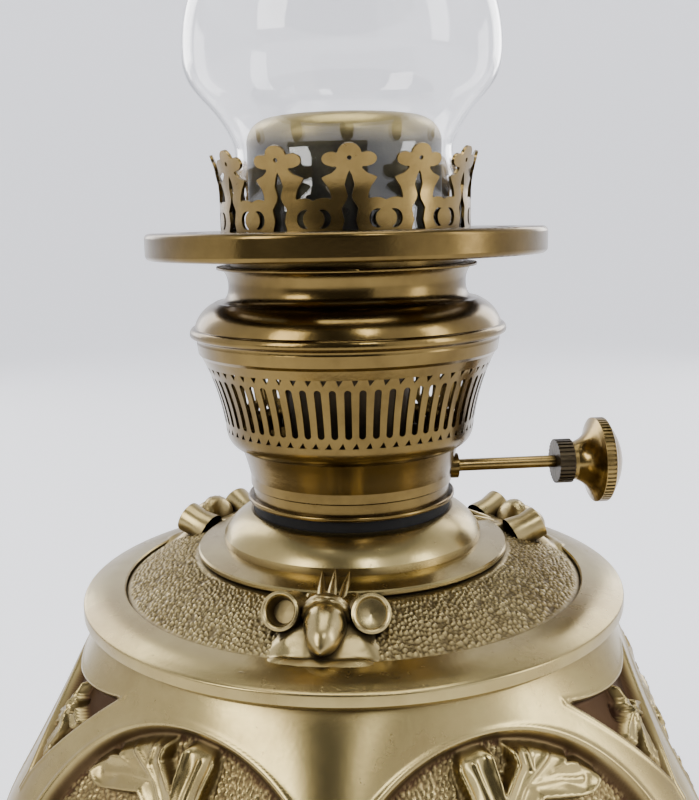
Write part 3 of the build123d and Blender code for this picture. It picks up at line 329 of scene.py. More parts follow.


def cap_brass(name):
    """Flame cap: golden on top, with painted shade on its side: mottled near-black to dark olive below the
    top band.
    """
    material = brass(name, (0.46, 0.36, 0.15), (0.30, 0.24, 0.10), (0.05, 0.04, 0.03),
                     (0.25, 0.4), 0.2, 0.7)
    tree = material.node_tree
    shader = tree.nodes["Principled BSDF"]
    where = tree.nodes.new("ShaderNodeTexCoord")
    split = tree.nodes.new("ShaderNodeSeparateXYZ")
    tree.links.new(where.outputs["Object"], split.inputs[0])
    side_shade_mottle = node(tree, "ShaderNodeTexNoise", Scale=160.0, Detail=6.0, Roughness=0.7)
    tree.links.new(where.outputs["Object"], side_shade_mottle.inputs["Vector"])
    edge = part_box("flame_cap")[1].z - CAP_SIDE
    band = node(tree, "ShaderNodeMapRange", **{"From Min": edge - 0.0012, "From Max": edge + 0.0022})
    tree.links.new(split.outputs["Z"], band.inputs["Value"])
    # Painted shade: the side below the band is near-black, mottled dark olive.
    side = tree.nodes.new("ShaderNodeMixRGB")
    side.inputs[1].default_value = (0.014, 0.013, 0.011, 1)
    side.inputs[2].default_value = (0.12, 0.11, 0.075, 1)
    tree.links.new(side_shade_mottle.outputs["Fac"], side.inputs[0])
    colour = tree.nodes.new("ShaderNodeMixRGB")
    tree.links.new(band.outputs["Result"], colour.inputs[0])
    tree.links.new(side.outputs[0], colour.inputs[1])
    tree.links.new(shader.inputs["Base Color"].links[0].from_socket, colour.inputs[2])
    tree.links.new(colour.outputs[0], shader.inputs["Base Color"])
    return material


MATERIALS = {
    "satin_brass": brass("satin_brass", (0.36, 0.285, 0.12), (0.25, 0.185, 0.075), (0.05, 0.025, 0.014),
                         (0.20, 0.31), 0.03, 0.85),
    "stippled_brass": brass("stippled_brass", (0.42, 0.335, 0.15), (0.28, 0.21, 0.09),
                            (0.025, 0.014, 0.008), (0.20, 0.34), 0.08, 0.98),
    "antique_brass": brass("antique_brass", (0.17, 0.115, 0.038), (0.085, 0.056, 0.019),
                           (0.012, 0.007, 0.004), (0.15, 0.27), 0.05, 0.98),
    "gilt_brass": brass("gilt_brass", (0.29, 0.20, 0.07), (0.14, 0.093, 0.032), (0.015, 0.009, 0.005),
                        (0.16, 0.30), 0.06, 0.95),
    "cap_brass": cap_brass("cap_brass"),
    "dark_brass": brass("dark_brass", (0.075, 0.055, 0.03), (0.035, 0.028, 0.018), (0.012, 0.009, 0.006),
                        (0.3, 0.5), 0.3, 0.9),
    "sheet_brass": brass("sheet_brass", (0.50, 0.40, 0.22), (0.36, 0.28, 0.14), (0.05, 0.03, 0.02),
                         (0.3, 0.45), 0.1, 0.8),
    "screw_steel": plain("screw_steel", (0.45, 0.44, 0.42), (0.6, 0.59, 0.57), 0.35, 1.0),
    # Near-black gasket: a blackened neck whose colour also paints the shadow in the gap under the burner's
    # collar.
    "black_gasket": plain("black_gasket", (0.004, 0.004, 0.004), (0.010, 0.009, 0.008), 0.6, shine=0.12),
    "cotton_wick": plain("cotton_wick", (0.75, 0.70, 0.60), (0.45, 0.40, 0.33), 0.9, 0.0, 700.0, 0.8),
    "clear_glass": clear_glass("clear_glass"),
}


def dress_cad_nodes():
    """Every CAD node takes its slot's material."""
    for row in frame["record"]["subparts"]:
        piece = NODES[row["node"]]
        piece.data.materials.clear()
        piece.data.materials.append(MATERIALS[row["material_slot"]])
    NODES["flame_cap"].data.materials[0] = MATERIALS["cap_brass"]


# ---------------------------------------------------------------- urn
def wall_radius(start, tilt, run, bend, height):
    """Outline of a facet or a corner: a slope, an arc out to the belly, an arc in to the waist."""
    slope = radians(tilt)
    middle_r = start + run * sin(slope) - bend * cos(slope)
    middle_z = BODY_TOP - run * cos(slope) - bend * sin(slope)
    knee_z = middle_z + bend * sin(slope)
    belly_r = middle_r + bend
    straight = start + (BODY_TOP - height) * sin(slope) / cos(slope)
    upper = middle_r + np.sqrt(np.maximum(bend**2 - (height - middle_z) ** 2, 0))
    drop, narrow = middle_z - FOOT_TOP, belly_r - WAIST_R
    low_bend = (drop**2 + narrow**2) / (2 * narrow)
    lower = belly_r - low_bend + np.sqrt(np.maximum(low_bend**2 - (height - middle_z) ** 2, 0))
    return np.where(height > knee_z, straight, np.where(height > middle_z, upper, lower))


def urn_radius(phi, height):
    """Rounded hexagon: phi is the angle from the middle of a facet, in radians."""
    facet = wall_radius(SHOULDER_R, FACET_TILT, FACET_RUN, FACET_BEND, height)
    corner = wall_radius(SHOULDER_R + CORNER_SWELL, CORNER_TILT, CORNER_RUN, CORNER_BEND, height)

    def bulge(angle):
        total = sum(np.maximum(0, np.cos(angle - k * pi / 3)) ** CORNER_POWER for k in range(6))
        return total ** (-1 / CORNER_POWER)

    return facet * (1 + (corner / facet - 1) / (bulge(pi / 6) - 1) * (bulge(phi) - 1))


def out_frame(angle, radius, height, shift, lift):
    """Centre, sideways, upwards and outward directions of a plane that looks out from the axis."""
    a, tilt = radians(angle), radians(lift)
    outward = np.array([sin(a), -cos(a), 0])
    along = np.array([cos(a), sin(a), 0])
    normal = outward * cos(tilt) + np.array([0, 0, sin(tilt)])
    centre = outward * radius + along * shift + np.array([0, 0, height])
    return centre, along, np.cross(normal, along), normal


def medallion_frame(angle, shift):
    """Plane of a medallion on the facet at an angle, moved sideways."""
    slope, lift = radians(FACET_TILT), radians(MEDALLION_LIFT)
    middle_r = SHOULDER_R + FACET_RUN * sin(slope) - FACET_BEND * cos(slope)
    middle_z = BODY_TOP - FACET_RUN * cos(slope) - FACET_BEND * sin(slope)
    return out_frame(angle, middle_r + FACET_BEND * cos(lift), middle_z + FACET_BEND * sin(lift),
                     shift, MEDALLION_LIFT)


def spandrel_frame(angle):
    """Plane of a spandrel on the corner at an angle."""
    slope = radians(CORNER_TILT)
    radius = SHOULDER_R + CORNER_SWELL + SPANDREL_DROP * sin(slope)
    return out_frame(angle, radius, BODY_TOP - SPANDREL_DROP * cos(slope), 0, CORNER_TILT)


# Oak leaves of a medallion: stalk end and tip (u towards the pilaster, v up), sideways bend,
# half width, pairs of lobes, height over the ground.
LEAVES = (
    ((20, -8), (-22, 42), 5.0, 17.0, 3, 3.2),
    ((14, -12), (-42, 10), -5.0, 13.0, 3, 2.7),
    ((12, -12), (-14, -41), 5.0, 13.0, 3, 2.7),
    ((10, -12), (40, -20), -4.0, 11.0, 2, 2.7),
)
SPANDREL_LEAF = ((0, 15), (0, -13), 0.0, 8.5, 2, 2.9)


def to_capsule(a, s, start, end, thin, thick):
    """Depth inside a tapered stroke, and distance from its middle line."""
    run_a, run_s = end[0] - start[0], end[1] - start[1]
    share = ((a - start[0]) * run_a + (s - start[1]) * run_s) / (run_a**2 + run_s**2)
    share = np.clip(share, 0, 1)
    away = np.hypot(a - start[0] - share * run_a, s - start[1] - share * run_s)
    return thin + (thick - thin) * share - away, away


LEAF_SWAY, LEAF_SWAY_SIZE = 0.9, 8  # wandering of the outline and how long its waves are
STALK_HALF, STALK_TIP = 1.1, 0.9
RIB_HALF, VEIN_HALF = 0.75, 0.55
VEIN_LIFT, CURL_LIFT = 0.75, 0.8
LOBE_LEAN = 1.5  # lobes of the two sides are set this far off each other's place, each way


def leaf_relief(u, v, leaf):
    """Height of an oak leaf at points (u, v): round lobes, ribs and curled edges."""
    (base_u, base_v), (tip_u, tip_v), bend, width, pairs, lift = leaf
    length = float(np.hypot(tip_u - base_u, tip_v - base_v))
    run_u, run_v = (tip_u - base_u) / length, (tip_v - base_v) / length
    u = u + LEAF_SWAY * waves(u, v, LEAF_SWAY_SIZE, 3)
    v = v + LEAF_SWAY * waves(u, v, LEAF_SWAY_SIZE, 8)
    a = (u - base_u) * run_u + (v - base_v) * run_v
    s = (u - base_u) * run_v - (v - base_v) * run_u
    s = s - bend * np.sin(pi * np.clip(a / length, 0, 1))
    stroke = 0.30 * width
    body = to_capsule(a, s, (0.22 * length, 0), (0.92 * length, 0), 0.5 * stroke, 1.15 * stroke)[0]
    stalk, middle = to_capsule(a, s, (0, 0), (0.97 * length, 0), STALK_HALF, STALK_TIP)
    inside = np.maximum(body, stalk)
    veins = np.exp(-((middle / RIB_HALF) ** 2))
    for pair in range(pairs):
        root = length * (0.30 + 0.48 * pair / max(pairs - 1, 1))
        reach = width * (0.80 + 0.30 * sin(pi * (pair + 0.6) / pairs))
        for side in (-1, 1):
            start = (root + LOBE_LEAN * side, 0)
            end = (root + 0.55 * reach + LOBE_LEAN * side, side * (reach - stroke))
            lobe, away = to_capsule(a, s, start, end, 0.75 * stroke, stroke)
            inside = np.maximum(inside, lobe)
            side_vein = 0.75 * np.exp(-((away / VEIN_HALF) ** 2)) * smoothstep(0, 2, lobe)
            veins = np.maximum(veins, side_vein)
    height = lift * smoothstep(-0.1, 1.1, inside)
    height *= 0.66 + 0.34 * smoothstep(0.85, 0.1, inside / stroke + 0.3 * waves(u, v, 6, 11))
    height += VEIN_LIFT * veins * smoothstep(0, 1, inside)
    curl = 0.5 + 0.5 * waves(u, v, 5, 21)
    height += CURL_LIFT * smoothstep(0, 0.7, inside) * smoothstep(2.2, 0.9, inside) * curl
    return height


def medallion_field(u, v):
    """Inward depth and patina round a medallion at points (u, v)."""
    away = np.hypot(u, v)
    depth = MEDALLION_DEPTH * smoothstep(MEDALLION_R + 0.2, MEDALLION_R - 1.9, away)
    depth -= 0.35 * np.exp(-(((away - MEDALLION_R - 0.7) / 0.55) ** 2))
    inside = smoothstep(MEDALLION_R - 1.6, MEDALLION_R - 2.4, away)
    grains = pebbles(u, v, GRAIN)
    relief = np.zeros_like(u)
    for leaf in LEAVES:
        relief = np.maximum(relief, leaf_relief(u, v, leaf))
    clear = smoothstep(0.5, 0.05, relief)
    depth += inside * clear * (0.42 - 0.55 * grains)
    depth -= smoothstep(MEDALLION_R - 1.7, MEDALLION_R - 5.0, away) * relief
    band = smoothstep(MEDALLION_R + 0.1, MEDALLION_R - 1.0, away)
    band *= smoothstep(MEDALLION_R - 4.0, MEDALLION_R - 1.5, away)
    patina_and_shade = 0.85 * band + inside * clear * (0.75 - 0.75 * grains)
    patina_and_shade += inside * 0.5 * smoothstep(0.02, 0.5, relief) * smoothstep(1.8, 0.5, relief)
    return depth, np.clip(patina_and_shade, 0, 0.95)


def spandrel_field(u, v):
    """Inward depth of an openwork spandrel at points (u, v), and its painted shade: the openings are a
    shallow recess painted dark.
    """
    half, rise, crest, tip = SPANDREL_HALF, SPANDREL_RISE, SPANDREL_CREST, SPANDREL_TIP
    climb = np.clip((v + tip) / (rise + tip), 0, 1)
    width = half * (0.72 * climb + 0.28 * climb**2.2)
    top = crest + (rise - crest) * (u / half) ** 2
    edge = np.minimum(top - v, 0.86 * (width - np.abs(u)))
    depth = SPANDREL_DEPTH * smoothstep(-0.1, 1.5, edge)
    depth -= 0.25 * np.exp(-(((edge + 0.5) / 0.4) ** 2))
    relief = leaf_relief(u, v, SPANDREL_LEAF) * smoothstep(0.6, 1.8, edge)
    eyes = smoothstep(1.5, 0.9, np.hypot((np.abs(u) - 3.0) / 0.8, (v - 6.5) / 1.6))
    depth += 1.6 * eyes * smoothstep(0.8, 1.6, edge) - relief * (1 - eyes)
    # Painted shade: the spandrel's ground and eyes are darkened for the shade seen through openwork.
    patina_and_shade = 0.95 * smoothstep(0, 1.0, edge) * (1 - 0.9 * smoothstep(0.5, 1.8, relief)) + eyes
    return depth, np.clip(patina_and_shade, 0, 1)


URN_COLUMNS = 250
URN_LOW_ROWS, URN_HIGH_ROWS = 26, 286
URN_SPLIT = 58.0  # rows are fine above this height


def urn_sector(number, angle, side):
    """One facet of the urn with its medallion and the halves of the two corners beside it."""
    heights = np.concatenate([np.linspace(FOOT_TOP, URN_SPLIT, URN_LOW_ROWS)[:-1],
                              np.linspace(URN_SPLIT, BODY_TOP, URN_HIGH_ROWS)])
    phi = np.radians(np.linspace(-30, 30, URN_COLUMNS))
    height, phi = [grid.ravel() for grid in np.meshgrid(heights, phi, indexing="ij")]
    radius = urn_radius(phi, height)
    turn = radians(angle) + phi
    outward = np.stack([np.sin(turn), -np.cos(turn), 0 * turn], -1)
    points = outward * radius[:, None]
    points[:, 2] = height
    centre, along, up, _ = medallion_frame(angle, -side * MEDALLION_SHIFT)
    u = (points - centre) @ along * -side
    v = (points - centre) @ up
    depth, patina_and_shade = np.zeros_like(radius), np.zeros_like(radius)
    near = np.hypot(u, v) < MEDALLION_R + MEDALLION_RIM
    depth[near], patina_and_shade[near] = medallion_field(u[near], v[near])
    centre, along, up, _ = spandrel_frame(angle + 30 * side)
    u = (points - centre) @ along
    v = (points - centre) @ up
    near = (np.abs(u) < 24) & (v > -18) & (v < 20) & (side * phi > 0)
    more, shade_and_patina_mark = spandrel_field(u[near], v[near])
    depth[near] += more
    patina_and_shade[near] = np.maximum(patina_and_shade[near], shade_and_patina_mark)
    points -= outward * depth[:, None] * cos(radians(RELIEF_DIP))
    points[:, 2] -= depth * sin(radians(RELIEF_DIP)) * (height < BODY_TOP - 3)
    faces = grid_faces(len(heights), URN_COLUMNS)
    replaced = ["vase_body", f"leaf_medallion_{number}"]
    if side == 1:
        replaced.append(f"spandrel_leaf_{(number + 1) // 2}")
    new_object(f"urn_facet_{number}", points, faces, "vase", "satin_brass", replaced, patina_and_shade)


def build_urn():
    """Six facets, two to each plain pilaster."""
    number = 0
    for pilaster in (0, 120, 240):
        for side in (-1, 1):
            number += 1
            urn_sector(number, TURN + pilaster + side * 30, side)


def build_shoulder_ring():
    """Heavy ring on the urn's mouth: cove below, square edge, gently rounded top."""
    low, high = BODY_TOP, RING_TOP
    bore = DOME_R + 0.3
    ledge = bore - 2.0
    shoulder = SHOULDER_R + 1.0
    cove = curve_points([(shoulder, low), (RING_R - 2.0, low + 0.8), (RING_R - 1.0, low + 1.9)], 6)
    edge = curve_points([(RING_R, high - 2.9), (RING_R - 0.15, high - 2.45), (RING_R - 0.7, high - 2.15)], 4)
    face = curve_points([(RING_R - 0.7, high - 2.15), (RING_R - 3.4, high - 1.25), (RING_R - 6.6, high - 0.5),
                         (bore + 0.4, high)], 8)
    outline = [(ledge, low), *cove, (RING_R, low + 2.3), *edge, *face[1:],
               (bore, high - 0.4), (bore, high - 3.3), (ledge, high - 3.3)]
    turned("ring", outline, "vase", "satin_brass", ["shoulder_ring"], 320)


# ---------------------------------------------------------------- shoulder dome, acorns
def dome_height(radius):
    """Height of the dome's face at a radius."""
    inner = COLLAR_R - 3.2
    share = np.clip((DOME_R - radius) / (DOME_R - inner), 0, 1)
    return DOME_FOOT + 2.2 + (COLLAR_Z - DOME_FOOT - 2.2) * share + 4.4 * share * (1 - share)


DOME_MIDDLE_R = 52  # the grains are square at this radius


def build_dome():
    """Stippled dome between the shoulder ring and the collar."""
    rows, columns = 62, 960
    radii = np.linspace(DOME_R, COLLAR_R - 3.0, rows)
    turns = np.arange(columns) * 2 * pi / columns
    radius, turn = [grid.ravel() for grid in np.meshgrid(radii, turns, indexing="ij")]
    circle = 2 * pi * DOME_MIDDLE_R
    grains = pebbles(turn / (2 * pi) * round(circle / GRAIN) * GRAIN, radius, GRAIN, 2)
    ground = smoothstep(DOME_R - 0.3, DOME_R - 1.6, radius)
    ground *= smoothstep(COLLAR_R + 0.4, COLLAR_R + 1.6, radius)
    height = dome_height(radius) + ground * (0.6 * grains - 0.3)
    points = np.stack([radius * np.cos(turn), radius * np.sin(turn), height], -1)
    faces = [face[::-1] for face in grid_faces(rows, columns, wrap=True)]
    rim = 0.7 * smoothstep(DOME_R - 1.8, DOME_R - 0.2, radius)
    patina_and_shade = np.maximum(ground * (0.8 - 0.8 * grains), rim)
    new_object("stippled_dome", points, faces, "font", "stippled_brass", ["shoulder_dome"], patina_and_shade)


CLUSTER_TURN = -11.9
ACORN_RAD = 52.0  # where an acorn's cup sits
ACORN_DIP, TWIG_LIFT, TWIG_SWING = 20, 24, 10  # degrees
ACORN_R, ACORN_L = 4.8, 13.5
PAD_HALF, PAD_SWELL, PAD_SINK, PAD_OVER = 17.5, 2.8, 0.9, 5.0
STUB_R, STUB_GAP, STUB_L = 4.55, 21.3, 9.0


def spun(outline, origin, direction, steps=40, bumps=0.0):
    """Points and faces of a profile of (distance along, radius) spun round a direction."""
    direction = Vector(direction).normalized()
    side = direction.orthogonal().normalized()
    other = direction.cross(side)
    points = []
    for row, (along, radius) in enumerate(outline):
        for step in range(steps):
            turn = 2 * pi * step / steps
            wide = radius * (1 + bumps * sin(step * pi / 2) * cos(row * pi / 1.5))
            point = Vector(origin) + direction * along + (side * cos(turn) + other * sin(turn)) * wide
            points.append(tuple(point))
    return points, grid_faces(len(outline), steps, wrap=True)


def cluster_piece(name, parts, turn, replaced):
    """Join points and faces built at the front, and turn them to a cluster's place."""
    points, faces = [], []
    for part_points, part_faces in parts:
        base = len(points)
        points += part_points
        faces += [[base + index for index in face] for face in part_faces]
    spin = Matrix.Rotation(radians(turn), 3, "Z")
    placed = [tuple(spin @ Vector(point)) for point in points]
    piece = new_object(name, placed, faces, "font", "stippled_brass", replaced)
    weld_and_sharpen(piece, 45)


# Nut and cup: distance along the acorn and radius.
NUT_OUTLINE = ((0, ACORN_R * 0.92), (2, ACORN_R), (5, ACORN_R * 1.02), (8, ACORN_R * 0.88),
               (10.5, ACORN_R * 0.70), (12.2, ACORN_R * 0.42), (13.0, ACORN_R * 0.22), (ACORN_L, 0.15))
CUP_OUTLINE = ((-2.4, 0.1), (-2.4, 2.2), (-1.6, 4.2), (0, ACORN_R + 0.75), (1.6, ACORN_R + 1.0),
               (2.3, ACORN_R + 0.75), (2.3, ACORN_R - 0.2))
ACORN_IN, ACORN_LIFT = 0.8, 5.4  # the cup's place, in from ACORN_RAD and above the dome
CUP_SCALES = 0.03


def acorn_parts():
    """An acorn that lies outwards and down, with its scaly cup."""
    dip = radians(ACORN_DIP)
    direction = (0, -cos(dip), -sin(dip))
    base = (0, -(ACORN_RAD - ACORN_IN), float(dome_height(ACORN_RAD + 5)) + ACORN_LIFT)
    nut = [(float(a), max(float(b), 0.05)) for a, b in curve_points(NUT_OUTLINE, 5)]
    cup = [(float(a), max(float(b), 0.05)) for a, b in curve_points(CUP_OUTLINE[1:6], 5)]
    cup = [CUP_OUTLINE[0], *cup, CUP_OUTLINE[6]]
    return [spun(nut, base, direction), spun(cup, base, direction, 48, CUP_SCALES)]


def twig_parts(side):
    """A cut twig: the left one is hollow, the right one has a flat end with a raised rim."""
    lift = radians(TWIG_LIFT)
    swing = radians(TWIG_SWING * side)
    direction = (sin(swing) * cos(lift), -cos(swing) * cos(lift), sin(lift))
    base = (side * STUB_GAP / 2 * 0.86, -(ACORN_RAD - 5.5), float(dome_height(ACORN_RAD)) + 1.0)
    end = STUB_L
    tube = [(0, STUB_R * 1.15), (end * 0.5, STUB_R * 0.96), (end - 0.8, STUB_R * 1.02),
            (end - 0.1, STUB_R), (end + 0.1, STUB_R - 0.5), (end - 0.1, STUB_R - 0.95)]
    if side < 0:
        tube += [(end - 1.0, STUB_R - 1.3), (end - 4.0, STUB_R - 1.9), (end - 4.2, 0.05)]
    else:
        tube += [(end - 0.55, STUB_R - 1.2), (end - 0.6, 1.2), (end - 0.9, 0.5), (end - 0.9, 0.05)]
    return [spun(tube, base, direction)]


def pad_parts():
    """Smooth cast tongue under the acorn that runs out to the ring, with leaf tips behind it."""
    rows, columns = 46, 64
    across = np.linspace(-PAD_HALF, PAD_HALF, columns)
    out = np.linspace(COLLAR_R - 1.0, DOME_R + PAD_OVER, rows)
    o, a = [grid.ravel() for grid in np.meshgrid(out, across, indexing="ij")]
    radius = np.hypot(o, a)
    width = 9.5 + 6.5 * smoothstep(COLLAR_R, DOME_R, o)
    swell = smoothstep(1.0, 0.55, np.abs(a) / width)
    swell *= 0.5 + 0.5 * smoothstep(DOME_R + 2, DOME_R - 8, o)
    swell *= smoothstep(DOME_R + PAD_OVER, DOME_R + 0.5, radius)
    over = smoothstep(DOME_R - 1.0, DOME_R + 0.8, radius)
    base = dome_height(np.minimum(radius, DOME_R))
    height = base + (RING_TOP - base) * over + PAD_SWELL * swell - PAD_SINK
    height += 0.35 * swell * waves(a, o, 2.4, 4)
    points = np.stack([a, -o, height], -1).tolist()
    parts = [(points, grid_faces(rows, columns))]
    for side in (-1, 0, 1):
        tip = (side * 3.4, -(OGEE_R + 0.6 - 1.2 * abs(side)), COLLAR_TOP + 2.2 - 0.9 * abs(side))
        foot = Vector((side * 2.2, -(COLLAR_R + 2.5), COLLAR_Z - 1.0))
        run = Vector(tip) - foot
        blade = [(0, 1.6), (run.length * 0.35, 1.4), (run.length * 0.7, 0.7), (run.length, 0.08)]
        parts.append(spun(blade, foot, run, 12))
    return parts


def build_clusters():
    """Three acorn clusters round the dome."""
    for number in range(3):
        turn = CLUSTER_TURN + 120 * number
        parts = acorn_parts() + twig_parts(-1) + twig_parts(1) + pad_parts()
        cluster_piece(f"acorns_{number + 1}", parts, turn, [f"acorn_cluster_{number + 1}"])


# ---------------------------------------------------------------- crown
CROWN_BASE_R = 33.0
CROWN_T = 0.9
CROWN_SLACK = 0.1  # the sheet is this much thinner than its place
CROWN_TURN = -3.1
CROWN_H = 20.0
CROWN_FLARE, FLARE_FOOT = 2.3, 9
PRONGS = 12
GAP_OUTLINE = ((0, 2.0), (2.2, 1.35), (5.0, 1.95), (7.0, 0.7), (8.0, 0.45), (10.5, 1.15), (12.6, 0.6),
               (14.2, -0.2), (15.5, -1.0), (20, -2.0))
PRONG_OUTLINE = ((0, 5.4), (5, 5.2), (7.6, 4.3), (8.6, 4.5), (10, 5.0), (11.2, 5.9), (12.2, 6.5), (12.7, 5.4),
                 (13.1, 4.2), (14.2, 2.9), (15.2, 3.0), (15.8, 1.0), (16.5, -2), (20, -9))


def crown_level(x, z):
    """Level function of one prong with half an arch on each side: positive in the metal."""
    half_step = pi * CROWN_BASE_R / PRONGS
    u = np.abs(x)
    w = half_step - u
    bump = 4.85 - np.hypot(w - 2.45, z - 2.7)
    arch = np.maximum(bump, np.minimum(6.7 - w, 2.9 - z))
    arch = np.maximum(arch, np.minimum(2.6 - w, 6.6 - z))
    gap = u - np.interp(z, *zip(*GAP_OUTLINE))
    prong = np.minimum(np.interp(z, *zip(*PRONG_OUTLINE)) - u, gap)
    prong = np.minimum(prong, z + 1)
    top = 2.75 - np.hypot(u, z - 17.2)
    lobe = 1.0 - np.hypot((u - 4.1) / 2.1, (z - 16.4) / 1.55)
    web = np.minimum(4.2 - u, 1.3 - np.abs(z - 16.0))
    palmette = np.maximum(np.maximum(top, 1.5 * lobe), web)
    eye = np.hypot(u, z - 16.6) - 0.55
    crescent = 2.1 - np.hypot(w - 2.05, (z - 2.7) * 0.95)
    crescent = np.minimum(crescent, np.hypot(w - 0.85, (z - 2.7) * 0.85) - 1.75)
    metal = np.maximum(np.minimum(arch, np.where(z < 9, gap, 9)), prong)
    metal = np.minimum(metal, -crescent)
    return np.minimum(np.maximum(metal, palmette), eye)


def clip_sheet(x, z, level):
    """Cells of a grid cut along level = 0, as points and faces of the part above zero."""
    columns = x.shape[1]
    x, z, level = x.ravel(), z.ravel(), level.ravel()
    points, found, faces = [], {}, []

    def place(key, point):
        if key not in found:
            found[key] = len(points)
            points.append(point)
        return found[key]

    for corner in range(len(x) - columns - 1):
        if corner % columns == columns - 1:
            continue
        ring = (corner, corner + 1, corner + columns + 1, corner + columns)
        face = []
        for i, j in zip(ring, ring[1:] + ring[:1]):
            if level[i] > 0:
                face.append(place(i, (x[i], z[i])))
            if (level[i] > 0) != (level[j] > 0):
                low, high = min(i, j), max(i, j)
                t = np.clip(level[low] / (level[low] - level[high]), 0.04, 0.96)
                point = (x[low] + t * (x[high] - x[low]), z[low] + t * (z[high] - z[low]))
                face.append(place((low, high), point))
        if len(face) > 2:
            faces.append(face)
    return np.array(points), faces


def build_crown():
    """Pierced crown: twelve palmette prongs joined by double arches."""
    half_step = pi * CROWN_BASE_R / PRONGS
    x = np.linspace(-half_step, half_step, 71)
    z = np.linspace(0, CROWN_H, 81)
    gx, gz = np.meshgrid(x, z)
    level = crown_level(gx, gz)
    flat, faces = clip_sheet(gx, gz, level)
    points, all_faces = [], []
    for prong in range(PRONGS):
        turn = radians(CROWN_TURN - 90 + prong * 360 / PRONGS) + flat[:, 0] / CROWN_BASE_R
        height = flat[:, 1]
        flare = CROWN_FLARE * np.clip((height - FLARE_FOOT) / (CROWN_H - FLARE_FOOT), 0, 1) ** 1.7
        radius = CROWN_BASE_R - CROWN_T + CROWN_SLACK / 2 + flare
        base = len(points)
        points += np.stack([radius * np.cos(turn), radius * np.sin(turn), GALLERY_TOP + height], -1).tolist()
        all_faces += [[base + index for index in face] for face in faces]
    piece = new_object("crown_prongs", points, all_faces, "gallery", "gilt_brass", ["crown_gallery"])
    work = bmesh.new()
    work.from_mesh(piece.data)
    bmesh.ops.remove_doubles(work, verts=work.verts, dist=2e-5)
    bmesh.ops.delete(work, geom=[v for v in work.verts if not v.link_faces], context="VERTS")
    work.to_mesh(piece.data)
    work.free()
    thick = piece.modifiers.new("sheet", "SOLIDIFY")
    thick.thickness = (CROWN_T - CROWN_SLACK) * MM
    thick.offset = 1.0
    thick.use_quality_normals = True
    crisp = piece.modifiers.new("crisp", "EDGE_SPLIT")
    crisp.split_angle = radians(40)


# ---------------------------------------------------------------- glass
GLASS_WALL = 0.9
GLASS_BASE = 2.9
BULB_SWELL = 12.5
TUBE_SHRINK = 6.6
# Outline above the foot: distance beyond the waist, height above the foot.
BULB_OUTLINE = (
    (GLASS_BASE, 8.0), (0.9, 14.6), (0.0, 21.4), (3.9, 29.0), (11.0, 37.7), (BULB_SWELL, 46.4),
    (10.5, 57.3), (4.1, 69.0), (-1.9, 82.0), (-5.0, 100.0), (-6.0, 125.0),
)


def build_glass():
    """Blown chimney with a thin wall, lathed inside the CAD chimney's outer face."""
    low = GALLERY_TOP
    waist = node_radius("glass_chimney") - BULB_SWELL - 0.1
    high = node_box("glass_chimney")[1][2] - low
    bulb = curve_points([(waist + beyond, low + rise) for beyond, rise in BULB_OUTLINE], 12)
    foot = (waist + GLASS_BASE, low)
    top = (waist - TUBE_SHRINK, low + high)
    outline = np.array([foot, *bulb, top])
    inner = outline[::-1] - [GLASS_WALL, 0]
    turned("chimney_glass", np.vstack([outline, inner]), "chimney", "clear_glass", ["glass_chimney"], 160)


# ---------------------------------------------------------------- stage, light, camera
STAGE_FLAT_R, STAGE_BEND, STAGE_TOP = 2.2, 0.9, 4.2  # metres
CARD_R, CARD_HEIGHT, CARD_SPAN = 2.1, 3.4, (-65, 19)  # metres, and angles from the front


def paper(name, colour):
    """Matt material of the stage, and its shader."""
    material, _, shader = start_material(name)
    shader.inputs["Base Color"].default_value = (*colour, 1)
    shader.inputs["Roughness"].default_value = 0.9
    return material, shader


def staged(name, points, faces, material, smooth):
    """Piece of the stage: it isn't part of the lamp."""
    mesh = bpy.data.meshes.new(name)
    mesh.from_pydata(points, [], faces)
    mesh.polygons.foreach_set("use_smooth", [smooth] * len(mesh.polygons))
    piece = bpy.data.objects.new(name, mesh)
    bpy.context.scene.collection.objects.link(piece)
    mesh.materials.append(material)


def build_stage():
    """Plain pale floor that curves up into a backdrop all round."""
    rows = [(0, 0)] + [(r, 0) for r in np.linspace(0.4, STAGE_FLAT_R, 8)]
    rows += [(STAGE_FLAT_R + STAGE_BEND * sin(a), STAGE_BEND - STAGE_BEND * cos(a))
             for a in np.linspace(0.1, pi / 2, 12)]
    rows += [(STAGE_FLAT_R + STAGE_BEND, STAGE_TOP)]
    points = [(r * cos(t), r * sin(t), z) for r, z in rows for t in np.arange(72) * 2 * pi / 72]
    material, shader = paper("stage_paper", (0.78, 0.78, 0.80))
    shader.inputs["Emission Color"].default_value = (0.93, 0.94, 1.0, 1)
    shader.inputs["Emission Strength"].default_value = 0.5
    staged("stage", points, grid_faces(len(rows), 72, wrap=True), material, True)


def build_dark_card():
    """Dark card far behind the camera, which gives the brass something dark to reflect."""
    columns, rows = 24, 6
    turns = np.radians(np.linspace(*CARD_SPAN, columns))
    heights = np.linspace(0.0, CARD_HEIGHT, rows)
    points = [(CARD_R * sin(t), -CARD_R * cos(t), z) for z in heights for t in turns]
    material = paper("card_paper", (0.035, 0.032, 0.03))[0]
    staged("dark_card", points, grid_faces(rows, columns), material, False)


LIGHT_TARGET = (0, 0, 0.22)


def area_light(name, place, width, height, power, colour):
    """Rectangular panel that faces the middle of the lamp."""
    light = bpy.data.lights.new(name, "AREA")
    light.shape = "RECTANGLE"
    light.size, light.size_y = width, height
    light.energy = power
    light.color = colour
    lamp = bpy.data.objects.new(name, light)
    lamp.location = place
    lamp.rotation_euler = (Vector(LIGHT_TARGET) - Vector(place)).to_track_quat("-Z", "Y").to_euler()
    bpy.context.scene.collection.objects.link(lamp)


